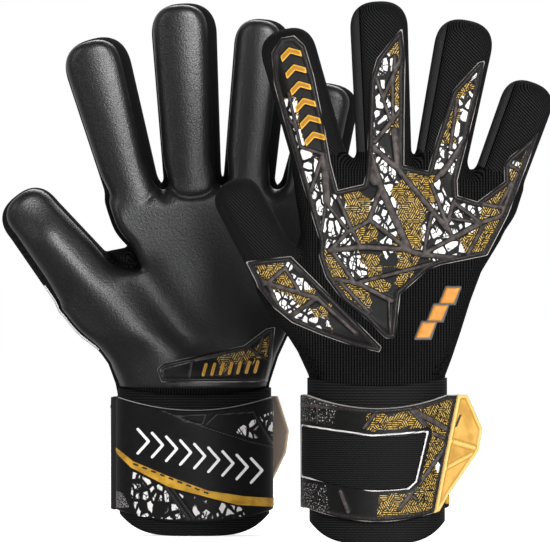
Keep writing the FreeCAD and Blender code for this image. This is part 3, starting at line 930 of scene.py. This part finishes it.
def carry(g, points):
    """Move design points, given in millimetres on the right glove, to this glove."""
    source, out = GLOVES["right"], []
    scale = (g.fingers["ring"].z - g.wrist) / (source.fingers["ring"].z - source.wrist)
    for x, z in points:
        best, on = 3.0, None
        for name, f in source.fingers.items():
            d = float(f.distance(np.array(x), np.array(z)))
            if f.axes(x, z)[1] > 0 and d < best:
                best, on = d, name
        if on:
            f, to = source.fingers[on], g.fingers[on]
            u, s = f.axes(x, z)
            t = s * to.length / f.length
            out.append(to.point(u / f.half(s) * to.half(t), t))
        else:
            out.append((x * g.a / source.a, g.wrist + (z - source.wrist) * scale))
    return np.array(out)


def seeds_on(g, seeds, place=carry):
    return {fill: place(g, spots) for fill, spots in seeds.items()}


def struts_on(g, struts, place=carry):
    start = place(g, [s[0:2] for s in struts])
    end = place(g, [s[2:4] for s in struts])
    return [(a, b, s[4]) for a, b, s in zip(start, end, struts)]


def strut_distance(x, z, struts, spread=SPREAD):
    """Distance to the nearest of several bars, less than 0 inside one."""
    best = np.full(np.shape(x), FAR)
    for start, end, half in struts:
        best = np.minimum(best, segment_distance(x, z, start, end) - spread * half)
    return best


def chevrons(g):
    """Distance to the raised chevrons and bars along the index finger."""
    f = g.fingers["index"]

    def distance(x, z):
        u, s = f.axes(x, z)
        s = s * 76 / f.length
        out = np.full(np.shape(x), FAR)
        for n in range(6):
            at = 14.5 + 9.4 * n
            arm = np.abs(s - at - 0.62 * (4.4 - np.abs(u - 0.6))) * 0.85 - 1.45
            out = np.minimum(out, np.maximum(arm, np.abs(u - 0.6) - 5.6))
        return out
    return distance


def patch_marks(g):
    """Distance to the row of raised slanted bars on the wrist patch."""
    bars = []
    for n in range(7):
        low, level = g.a * (0.12 + 0.115 * n), g.wrist + 6.2 + 0.25 * n
        bars.append(((low, level), (low + 1.6, level + 5.6), 0.85))
    return lambda x, z: strut_distance(x, z, bars, 1.0)


# ---- the hand ----
def soft_layer(g, name, made, material_of, nodes_of, slot_of, foam):
    """Mesh a field and split it into pieces at the joints."""
    field, origin, cell = made
    points, quads = surface_nets(field, origin, cell)
    points = relax(points, quads)
    normals = point_normals(points, quads)
    for part, own in split_by_body(g, points, quads).items():
        if not len(own):
            continue
        label = "_".join((name,) + tuple(p for p in part if p))
        extra = {"fold": fold_line(g, points, part)}
        rest = points if foam else wrapped(g, points, part)
        piece = make_piece(g, label, points, own, material_of(part), extra, rest=rest, normals=normals)
        bind(g, piece, part)
        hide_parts(*[f"{g.name}_{n}" for n in nodes_of(part)])
        slot_of(part)


def wrapped(g, points, part):
    """Points whose X goes on round the sides, so that threads keep their width there."""
    side = points[:, 0] / 20
    if part[0] != "hand":
        side = g.fingers[part[0]].axes(points[:, 0], points[:, 2])[0] / 3
    down = np.maximum(BACK - np.abs(points[:, 1]), 0)
    return points + np.clip(side, -1, 1)[:, None] * down[:, None] * np.array([1.0, 0.0, 0.0])


def fold_line(g, points, part):
    """Distance right of the seam down the back of a finger, FAR where there is none."""
    if part[0] == "hand":
        return np.full(len(points), FAR)
    f = g.fingers[part[0]]
    u, s = f.axes(points[:, 0], points[:, 2])
    line = u + 0.66 * f.half(s)
    on = (points[:, 1] > 0) & (part[0] != "thumb") & (part[0] != "index")
    return np.where(on, np.clip(line, -8, FAR), FAR)


def fabric_nodes(part):
    finger, level = part
    if finger == "hand":
        return ["back_knit", "side_gusset"]
    return [f"{finger}_base"] if level == "base" else [f"{finger}_tip_back"]


def latex_nodes(part):
    finger, level = part
    if finger == "hand":
        return ["palm_pad"]
    return [] if level == "base" else [f"{finger}_tip_pad"]


def build_hand(g):
    soft_layer(g, "fabric", fabric_field(g), lambda p: KNIT if p[0] == "hand" else TWILL, fabric_nodes,
               lambda p: "black_knit" if p[0] == "hand" else "black_mesh", False)
    soft_layer(g, "latex", latex_field(g), lambda p: LATEX, latex_nodes, lambda p: "black_latex", True)
    panel_piece(g, "back_print", on_glove(g, BACK_OUTLINE), seeds_on(g, BACK_SEEDS),
                struts_on(g, BACK_STRUTS), PRINT, marks=chevrons(g), node="back_panel")
    panel_piece(g, "thumb_print", carry(g, THUMB_OUTLINE), seeds_on(g, THUMB_SEEDS),
                struts_on(g, THUMB_STRUTS), PRINT)
    panel_piece(g, "patch", on_glove(g, PATCH_OUTLINE), seeds_on(g, PATCH_SEEDS, on_hand),
                struts_on(g, PATCH_STRUTS, on_hand), PATCH, side=-1, marks=patch_marks(g),
                rim=2.0, node="wrist_patch")
    badge_pieces(g)
    thumb_pale_edge_and_highlight(g)


def thumb_pale_edge_and_highlight(g):
    """Thin pale edge of the back panel along the outer side of the thumb, partly the panel's own pale cut
    edge and partly a painted highlight.
    """
    f = g.fingers["thumb"]
    t = np.linspace(-32, 14, 70)
    spots = []
    for along in t:
        across = np.linspace(-45, 0, 400)
        x, z = f.point(across, along)
        edge = np.argmin(np.abs(silhouette(g, x, z) + 0.8))
        spots.append((x[edge], z[edge]))
    spots = np.array(spots)
    for turn in range(4):
        spots[1:-1] = (spots[:-2] + 2 * spots[1:-1] + spots[2:]) / 4
    tangent = np.gradient(spots, axis=0)
    tangent /= np.linalg.norm(tangent, axis=1, keepdims=True)
    out = np.stack([-tangent[:, 1], tangent[:, 0]], axis=1)
    turn = np.linspace(0, 2 * np.pi, 9)[:-1]
    into = CORNER - np.sqrt(CORNER ** 2 - (CORNER - 0.8) ** 2)
    depth = PAD_RISE - palm_bulge(g, spots[:, 0], spots[:, 1]) + into - 0.3
    loops = []
    for (x, z), (ox, oz), y in zip(spots, out, depth):
        c, s = 0.55 * np.cos(turn), 0.55 * np.sin(turn)
        loops.append(np.stack([x + c * ox, y + s, z + c * oz], axis=1))
    points = np.concatenate(loops)
    quads = tube_faces(len(t), len(turn))
    for part, own in split_by_body(g, points, quads).items():
        if len(own):
            label = "_".join(("piping",) + tuple(p for p in part if p))
            bind(g, make_piece(g, label, points, own, PALE_EDGE_AND_HIGHLIGHT), part)


def badge_pieces(g):
    """Three raised gold bars in a stair on the back of the hand, each in a grey frame."""
    for n, (x, z) in enumerate([(20.5, 110.5), (27.0, 119.8), (33.5, 129.1)]):
        for name, grow, lift, material in (("frame", 1.1, 0.5, BADGE_FRAME), ("bar", 0.0, 1.2, BADGE)):
            shape = [(x - grow, z - grow), (x + 7.5 + grow, z - grow), (x + 11 + grow, z + 8.2 + grow),
                     (x + 3.5 - grow * 0.4, z + 8.2 + grow)]
            outline = carry(g, shape)
            distance = lambda px, pz: polygon_distance(px, pz, outline)
            flat, quads, border = flat_mesh(outline, 0.6, distance)
            inside = -distance(flat[:, 0], flat[:, 1])
            base = back_surface(g, flat[:, 0], flat[:, 1])
            top = base + lift - 0.4 * (1 - smoothstep(inside, 0.0, 0.7))
            points, faces = close_relief(flat, quads, border, top, base - 0.6, 1)
            extra = {"edge": np.tile(inside, 2)}
            piece = make_piece(g, f"badge_{name}_{n + 1}", points, faces, material, extra)
            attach(piece, g.name + "_hand")
            if name == "bar" and n == 0:
                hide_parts(g.name + "_badge")


# ---- the cuff ----
def sag(g, x):
    return SAG * np.clip(1 - (x / g.a) ** 2, 0, 1)


def ring(g, name, inner, outer, low, high, material, slot, node, rows=10, around=200):
    """Closed band right round the cuff. low and high give Z for an X."""
    turn = np.linspace(0, 2 * np.pi, around, endpoint=False)
    c, s = np.cos(turn), np.sin(turn)
    levels = [(outer, v) for v in np.linspace(0, 1, rows)] + [(inner, v) for v in np.linspace(1, 0, rows)]
    loops = []
    for offset, v in levels:
        x, y = (g.a + offset) * c, (g.b + offset) * s
        z = low(g.a * c) + v * (high(g.a * c) - low(g.a * c))
        loops.append(np.stack([x, y, z], axis=1))
    points = np.stack(loops)
    m = len(levels)
    n = np.arange(m * around).reshape(m, around)
    up, on = np.roll(n, -1, axis=0), np.roll(n, -1, axis=1)
    quads = np.stack([n, on, np.roll(up, -1, axis=1), up], axis=-1).reshape(-1, 4)
    points = points.reshape(-1, 3)
    rest = np.stack([np.tile(turn * (g.a + g.b) / 2, m), points[:, 1], points[:, 2]], axis=1)
    piece = make_piece(g, name, points, quads, material, rest=rest)
    settle(g, piece, "cuff", node, slot)


class Path:
    """The line round one side of the cuff that a strap follows, measured from its middle."""

    def __init__(self, g, offset, side):
        self.g = g
        a, b = g.a + offset, g.b + offset
        if side > 0:
            turn = np.radians(np.linspace(180, 48, 240))
        else:
            turn = np.radians(np.linspace(180, 357, 300))
        x, y = a * np.cos(turn), b * np.sin(turn)
        if side > 0:
            dx, dy = y[-1] / b ** 2, -x[-1] / a ** 2
            size = math.hypot(dx, dy)
            x = np.append(x, x[-1] + 60 * dx / size)
            y = np.append(y, y[-1] + 60 * dy / size)
        w = np.concatenate([[0], np.cumsum(np.hypot(np.diff(x), np.diff(y)))])
        w = w - np.interp(0, x, w)
        nx, ny = x / a ** 2, y / b ** 2
        if side > 0:
            nx[-1], ny[-1] = nx[-2], ny[-2]
        size = np.hypot(nx, ny)
        self.x, self.y, self.w, self.nx, self.ny = x, y, w, nx / size, ny / size

    def at_x(self, x):
        return np.interp(x, self.x, self.w)

    def place(self, w, lift, z):
        """Local points for a place along the strap, a height above the line and a chart Z."""
        out = [np.interp(w, self.w, v) for v in (self.x, self.y, self.nx, self.ny)]
        x = out[0] + lift * out[2]
        return np.stack([x, out[1] + lift * out[3], z - sag(self.g, out[0])], axis=1)

    def chart(self, points):
        """Chart coordinates of front-view points."""
        p = np.array(points, float)
        return np.stack([self.at_x(p[:, 0]), p[:, 1] + sag(self.g, p[:, 0])], axis=1)


def strap_piece(g, path, name, outline, material, body, slot, node, lift_of, attributes=None,
                under=0.0, cell=0.8):
    """A strap piece over a chart outline. lift_of gives its top's height from (x, z, inside)."""
    distance = lambda w, z: polygon_distance(w, z, outline)
    flat, quads, border = flat_mesh(outline, cell, distance)
    w, z = flat[:, 0], flat[:, 1]
    seen = path.place(w, 0.0, z)
    inside = -distance(w, z)
    extra = {"edge": inside}
    if attributes:
        extra.update(attributes(seen[:, 0], seen[:, 2]))
    top = path.place(w, lift_of(seen[:, 0], seen[:, 2], inside), z)
    bottom = path.place(w, np.full(len(w), under), z)
    faces = close_relief(flat, quads, border, w * 0, w * 0, -1)[1]
    points = np.concatenate([top, bottom])
    first = faces[0]
    facing = np.cross(points[first[1]] - points[first[0]], points[first[2]] - points[first[0]])
    if np.dot(facing, top[first[0]] - bottom[first[0]]) < 0:
        faces = faces[:, ::-1]
    rest = np.concatenate([np.stack([w, w * 0, seen[:, 2]], axis=1)] * 2)
    # distance below the strap's top edge, for the painted highlight along it
    extra["rail"] = np.minimum(g.strap_high - z, FAR)
    extra = {k: np.tile(v, 2) for k, v in extra.items()}
    extra["under"] = np.repeat([0.0, 1.0], len(w))
    piece = make_piece(g, name, points, faces, material, extra, rest=rest)
    settle(g, piece, body, node, slot)


def rounded_edge(height, radius=1.2):
    return lambda x, z, inside: height - radius + np.sqrt(
        np.maximum(radius ** 2 - (radius - np.clip(inside, 0, radius)) ** 2, 0))


def rectangle(start, end, low, high):
    """Chart outline of a plain strip."""
    return np.array([(start, low), (end, low), (end, high), (start, high)])


def build_cuff(g):
    low, high = g.strap_low, g.strap_high
    bottom = lambda x: HEM_LIFT * (x / g.a) ** 4
    side = lambda level: (lambda x: level - sag(g, x))
    ring(g, "hem", -2.5, 0.0, bottom, side(g.hem_top + 4), HEM, "black_knit", "cuff_hem")
    ring(g, "sleeve", -2.5, -0.1, side(g.hem_top + 3), side(g.band_base + 1), KNIT, "black_knit",
         "cuff_sleeve")
    top = lambda x: g.wrist - 1.0 - 0.6 * sag(g, x)
    ring(g, "band", -1.5, 1.1, side(g.band_base - 2), top, ELASTIC, "black_elastic", "wrist_band")
    palm = Path(g, 0.0, -1)
    outline = rectangle(palm.at_x(-g.a) + 3, palm.w[-1], low, high)
    strap_piece(g, palm, "strap_palm", outline, STRAP_PALM, "cuff", "black_satin", "strap_anchor",
                lambda x, z, inside: palm_strap_lift(g, x, z, inside), lambda x, z: strap_masks(g, x, z))
    back = Path(g, 2.5, 1)
    flat = back.w[-2]
    run = (g.tab_reach - back.x[-2]) / ((back.x[-1] - back.x[-2]) / 60)
    foot, tip = flat + 0.12 * run, flat + 0.55 * run
    outline = np.array([(back.w[0] + 1, low), (foot, low), (tip, high), (back.w[0] + 1, high)])
    panel = lambda x, z: strap_shards(g, x, z)
    raised = lambda x, z: 0.5 * smoothstep(-panel(x, z)["strut"], -0.4, 0.4)
    lift = lambda x, z, inside: rounded_edge(2.5)(x, z, inside) + raised(x, z)
    strap_piece(g, back, "strap_flap", outline, STRAP_PRINT, "strap", "strap_print", "strap_flap", lift,
                panel)
    wide, tall, base = strap_scale(g, GLOVES["right"])
    ribbed = back.chart([(x * wide, low + (z - base) * tall) for x, z in RIBBED])
    strap_piece(g, back, "strap_ribbed", ribbed, RIBBED_ELASTIC, "strap", "black_elastic",
                "strap_elastic_panel", rounded_edge(3.2), under=1.0)
    middle = (low + high) / 2 + 12
    tab = np.array([(foot, low), (foot + 3, low), (flat + run * 0.93, middle - 12), (flat + run, middle),
                    (flat + 0.72 * run, high), (tip, high)])
    strap_piece(g, back, "tab", tab, GOLD_RUBBER, "strap", "gold_rubber", "pull_tab",
                lambda x, z, inside: tab_lift(g, back, foot, tip, x, z, inside),
                lambda x, z: tab_masks(g, back, foot, tip, x, z), cell=0.6)
    patches(g)
    fold(g)


def palm_strap_lift(g, x, z, inside):
    """Height of the palm half: sunken grooves, a raised stripe and raised strokes."""
    masks = strap_masks(g, x, z)
    lift = rounded_edge(2.5)(x, z, inside) - 0.5 * (1 - smoothstep(masks["groove"], 0.2, 0.9))
    lift = lift + 0.3 * smoothstep(-masks["stripe"], -0.3, 0.3)
    return lift + 0.25 * smoothstep(-masks["strokes"], -0.3, 0.3)


def tab_ridges(g, path, foot, tip, x, z):
    """Distance to the two slanted ridges across the tab."""
    span = g.strap_high - g.strap_low
    w, up = path.at_x(x), z + sag(g, x) - g.strap_low
    across = w - foot - (tip - foot) * up / span
    first = np.abs(up - span * 0.60 + 0.25 * across)
    second = np.abs(up - span * 0.34 - 0.5 * across)
    return np.minimum(first, second)


def tab_masks(g, path, foot, tip, x, z):
    ridge = tab_ridges(g, path, foot, tip, x, z)
    span = g.strap_high - g.strap_low
    w, up = path.at_x(x), z + sag(g, x) - g.strap_low
    across = w - foot - (tip - foot) * up / span
    ink = np.maximum(np.abs(across - 3.6 - 0.22 * (up - 0.77 * span)) - 0.8, np.abs(up - 0.77 * span) - 3.4)
    return {"raise": 1 - smoothstep(ridge, 0.5, 1.2), "groove": np.abs(ridge - 1.7), "ink": ink}


def tab_lift(g, path, foot, tip, x, z, inside):
    ridge = tab_ridges(g, path, foot, tip, x, z)
    rim = 1 - smoothstep(inside, 1.3, 2.3)
    bar = 1 - smoothstep(ridge, 0.6, 1.4)
    return 2.0 + 1.0 * np.maximum(rim, bar) - 0.8 * (1 - smoothstep(inside, 0.0, 0.7))


def patches(g):
    """Loop field on the cuff and hook patch under the strap."""
    low, high = g.strap_low, g.strap_high
    under = Path(g, 0.0, 1)
    far, near = under.w[0] + 16, under.w[-2] - 1
    strap_piece(g, under, "loop", rectangle(far, near, low + 4, high - 4), LOOP, "cuff", "black_loop",
                "loop_patch", rounded_edge(1.0, 0.6), cell=1.2)
    far, near = under.at_x(np.array([g.a * math.cos(math.radians(88)), g.a * math.cos(math.radians(55))]))
    strap_piece(g, under, "hook", rectangle(far, near, low + 6, high - 6), HOOK, "strap", "black_hook",
                "hook_patch", rounded_edge(2.5, 0.5), under=1.3, cell=1.2)


def fold(g):
    """Soft turn that joins the strap's palm half to its flap."""
    t = np.linspace(0, 1, 15)
    ease = t * t * (3 - 2 * t)
    y = -4.6 + 7.4 * t
    curve = g.a * (np.sqrt(1 - (y / g.b) ** 2) - 1)
    inner = np.stack([-(g.a + curve + 2.5 * ease), y], axis=1)
    outer = inner + np.array([-2.4, 0.0])
    loop = np.concatenate([inner, outer[::-1]])
    z = np.linspace(g.strap_low + 0.3, g.strap_high - 0.3, 40)
    points = np.concatenate([np.column_stack([loop, np.full(len(loop), h)]) for h in z])
    m = len(loop)
    n = np.arange(len(points)).reshape(len(z), m)
    caps = []
    for level, turn in ((0, -1), (len(z) - 1, 1)):
        for k in range(len(t) - 1):
            caps.append([n[level, k], n[level, k + 1], n[level, m - 2 - k], n[level, m - 1 - k]][::turn])
    faces = np.concatenate([tube_faces(len(z), m), np.array(caps)])
    points[:, 2] -= sag(g, points[:, 0])
    extra = {"edge": np.minimum(points[:, 2] - g.strap_low, g.strap_high - points[:, 2])}
    piece = make_piece(g, "strap_fold", points, faces[:, ::-1], FOLD, extra)
    side = -(g.a + 1.5)
    lo, hi = to_points(g, (side, -4.2, 45), (side, 2.6, 45))
    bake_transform(piece)
    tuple(lo)
    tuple(hi)


# the strap's prints, in millimetres on the right glove
STRAP_SEEDS = {
    DASHED: [(2, 66), (10, 66), (18, 66), (24, 72.5), (33, 71), (38, 68), (33, 60), (32, 50), (27, 40),
        (4.9, 22.3), (12, 22.6), (24, 26), (30, 24), (30, 33), (19, 20)],
    CELLED: [(33, 42), (36, 48)],
    BLANK: [(-20, 68), (-13, 67), (-14, 24), (-22, 25), (-4, 23), (6.9, 72.5)],
    SPECKLED: [(-30, 71), (-24, 69), (-35, 27), (-29, 24)],
}
STRAP_STRUTS = [
    (16.9, 72.6, 41.5, 58.4, 1.5), (-7.1, 62.2, -0.1, 71.7, 0.8), (37.9, 55.2, 10.9, 18.3, 1.0),
    (-19, 28.3, -15, 17.3, 1.0), (-30.5, 76, -30.5, 63, 0.4), (16.9, 72.6, 26.5, 61.5, 1.2),
    (-38, 74.5, 0, 71.2, 0.9), (0, 71.2, 16.9, 72.6, 0.9), (27, 60, 38, 55, 1.0), (14, 29, 20, 24, 0.8),
]
RIBBED = [
    (-38.0, 63.5), (-2.6, 58.3), (25.8, 60.4), (19.8, 33.5), (15.8, 29.7), (-2.6, 28.6), (-38.0, 35.8),
]
STRIPE = [
    (-41.5, 48.8), (-39.7, 47.6), (-32, 40.9), (-14.4, 33.1), (7.3, 24.9), (26, 21.8), (43.8, 20.2),
    (43.8, 18.2), (40.3, 15.8), (22.8, 17.0), (5.2, 21.8), (-13.4, 26.9), (-33, 37.3), (-39.7, 44.5),
]
LOW_CELLS = [
    (-32, 35.2), (-14, 25.8), (5, 20.6), (24.8, 15.6), (26.9, 10.8), (-5, 8.6), (-29.9, 10.8),
    (-33, 22.8),
]
HIGH_CELLS = [(17.6, 54.8), (27, 61.5), (37.2, 66.6), (44.4, 69.3), (44.4, 50.7), (36.2, 50.7)]
SPECKLES = [(-44, 26), (-37, 23), (-34, 15.6), (-44, 15)]
STRAP_GROOVES = [
    (-16.5, 68.3, 4.2, 60), (4.2, 60, 28.9, 51.5), (28.9, 51.5, 44.4, 47.6), (-9.3, 65.7, 6.2, 66.2),
    (6.2, 66.2, 4.2, 61), (4.2, 61, -5.1, 62.6), (-5.1, 62.6, -9.3, 65.7), (6.5, 61, 12, 66.5),
    (12, 66.5, 31, 67.5), (31, 67.7, 42.4, 47.6), (-15, 27.2, -2.5, 9.4), (-12.5, 27.2, 0, 10),
]


def strap_scale(g, designed):
    """Widths and heights of this glove's strap against the one that the prints are given for."""
    low, high = designed.strap_low, designed.strap_high
    return g.a / designed.a, (g.strap_high - g.strap_low) / (high - low), low


def to_design(g, designed, x, z):
    wide, tall, low = strap_scale(g, designed)
    return x / wide, low + (z - g.strap_low) / tall


def strap_shards(g, x, z):
    """Struts and fills of the strap's flap."""
    x, z = to_design(g, GLOVES["right"], x, z)
    struts = [((a, b), (c, d), half) for a, b, c, d, half in STRAP_STRUTS]
    ribbed = polygon_distance(x, z, np.array(RIBBED, float))
    bars = strut_distance(x, z, struts)
    fill = np.where(ribbed < 2.4, BLANK, filling(x, z, STRAP_SEEDS))
    bars = np.where(ribbed < 2.4, FAR, bars)
    return {"strut": bars, "fill": fill, "mark": np.full(np.shape(x), FAR), "line": np.abs(ribbed)}


def strap_masks(g, x, z):
    """Distances to the strap's printed shapes, less than 0 inside them."""
    x, z = to_design(g, GLOVES["left"], x, z)
    inside = lambda shape: polygon_distance(x, z, np.array(shape, float))
    nearest = lambda bars: strut_distance(x, z, bars, 1.0)
    strokes, dashes = [], []
    for n in range(9):
        left, level = -29.5 + 7.4 * n, 51.8 - 2.0 * n
        strokes += [((left, level + rise), (left + 5.6, level), 0.72) for rise in (6.6, -6.6)]
        left, level = -31.5 + 4.6 * n, 39.4 - 1.9 * n
        dashes.append(((left, level), (left + 2.0, level - 0.8), 0.55))
    groove = nearest([((a, b), (c, d), 0.0) for a, b, c, d in STRAP_GROOVES])
    cells = np.maximum(np.minimum(inside(LOW_CELLS), inside(HIGH_CELLS)), 1.3 - groove)
    return {"cells": cells, "strokes": nearest(strokes), "stripe": inside(STRIPE),
            "dashes": nearest(dashes), "groove": groove, "speckle": inside(SPECKLES)}


# ---- materials, pieces, lights and camera ----
KNIT = knit_material()
TWILL = twill_material()
LATEX = latex_material()
PRINT = print_material("back_print")
PATCH = print_material("patch_print", 0.32, 0.4)
STRAP_PRINT = print_material("strap_print")
HEM = elastic_material("hem", 1.3)
ELASTIC = elastic_material("band", 1.5)
RIBBED_ELASTIC = elastic_material("ribbed", 1.15)
STRAP_PALM = strap_palm_material()
GOLD_RUBBER = gold_material()
HOOK = plain_material("hook", (0.010, 0.010, 0.010), grain=1.6, depth=0.4, specular=0.1)
LOOP = plain_material("loop", (0.012, 0.012, 0.012), rough=0.9, grain=2.4, depth=0.5, specular=0.05)
FOLD = plain_material("fold", (0.012, 0.012, 0.012), rough=0.6, grain=2.0, depth=0.1, specular=0.12)
# the thumb's pale edge tube: partly the pale cut edge, partly a painted highlight
PALE_EDGE_AND_HIGHLIGHT = plain_material("piping", (0.62, 0.60, 0.60), rough=0.6)
BADGE = plain_material("badge", (0.45, 0.185, 0.024), rough=0.45, specular=0.2)
BADGE_FRAME = plain_material("badge_frame", (0.075, 0.07, 0.07), rough=0.6)

GLOVES = {name: Glove(name) for name in ("left", "right")}
for glove in GLOVES.values():
    build_hand(glove)
    build_cuff(glove)


def aim(item, place, target):
    item.location = place
    item.rotation_euler = (Vector(target) - Vector(place)).to_track_quat("-Z", "Y").to_euler()


def area_light(name, place, target, size, power):
    light = bpy.data.lights.new(name, "AREA")
    light.shape = "RECTANGLE"
    light.size, light.size_y = size
    light.energy = power
    aim(add_object(name, light), place, target)


def set_stage():
    mesh = bpy.data.meshes.new("floor")
    mesh.from_pydata([(-30, -30, 0), (30, -30, 0), (30, 30, 0), (-30, 30, 0)], [], [(0, 1, 2, 3)])
    paint = bpy.data.materials.new("floor")
    paint.use_nodes = True
    bsdf = paint.node_tree.nodes["Principled BSDF"]
    for name, value in (("Base Color", (0.93, 0.93, 0.93, 1)), ("Roughness", 1.0),
                        ("Specular IOR Level", 0.0), ("Emission Color", (1, 1, 1, 1)),
                        ("Emission Strength", 0.72)):
        bsdf.inputs[name].default_value = value
    mesh.materials.append(paint)
    floor = add_object("floor", mesh)
    floor.visible_glossy = False
    world = bpy.data.worlds.new("sky")
    world.use_nodes = True
    nodes, links = world.node_tree.nodes, world.node_tree.links
    place = nodes.new("ShaderNodeTexCoord")
    parts = nodes.new("ShaderNodeSeparateXYZ")
    ramp = nodes.new("ShaderNodeMapRange")
    for name, value in (("From Min", 0.1), ("From Max", 0.95), ("To Min", 0.13), ("To Max", 1.0)):
        ramp.inputs[name].default_value = value
    links.new(place.outputs["Generated"], parts.inputs[0])
    links.new(parts.outputs["Y"], ramp.inputs["Value"])
    links.new(ramp.outputs["Result"], nodes["Background"].inputs["Strength"])
    nodes["Background"].inputs["Color"].default_value = (1, 1, 1, 1)
    bpy.context.scene.world = world


def set_camera():
    """A long lens from far off, so that both gloves keep the same size."""
    away, rise, middle = 10.0, math.radians(0.5), Vector((0.0, 0.0, 0.1455))
    camera = bpy.data.cameras.new("camera")
    camera.sensor_width = 36.0
    camera.lens = 36.0 * away / 0.2985
    camera.clip_end = 100.0
    eye = add_object("camera", camera)
    aim(eye, middle + Vector((0, -away * math.cos(rise), away * math.sin(rise))), middle)
    bpy.context.scene.camera = eye


set_stage()
set_camera()
area_light("key", (1.15, -2.75, 0.85), (0, 0, 0.15), (0.9, 0.9), 110)
area_light("front", (0.55, -2.9, 0.55), (0, 0, 0.13), (0.8, 0.8), 34)
area_light("side", (-2.3, -1.2, 1.0), (0, 0, 0.14), (0.5, 1.4), 14)
area_light("back", (0.3, 2.2, 2.0), (0, 0, 0.14), (2.0, 1.0), 40)
bpy.context.scene.view_settings.view_transform = "Standard"
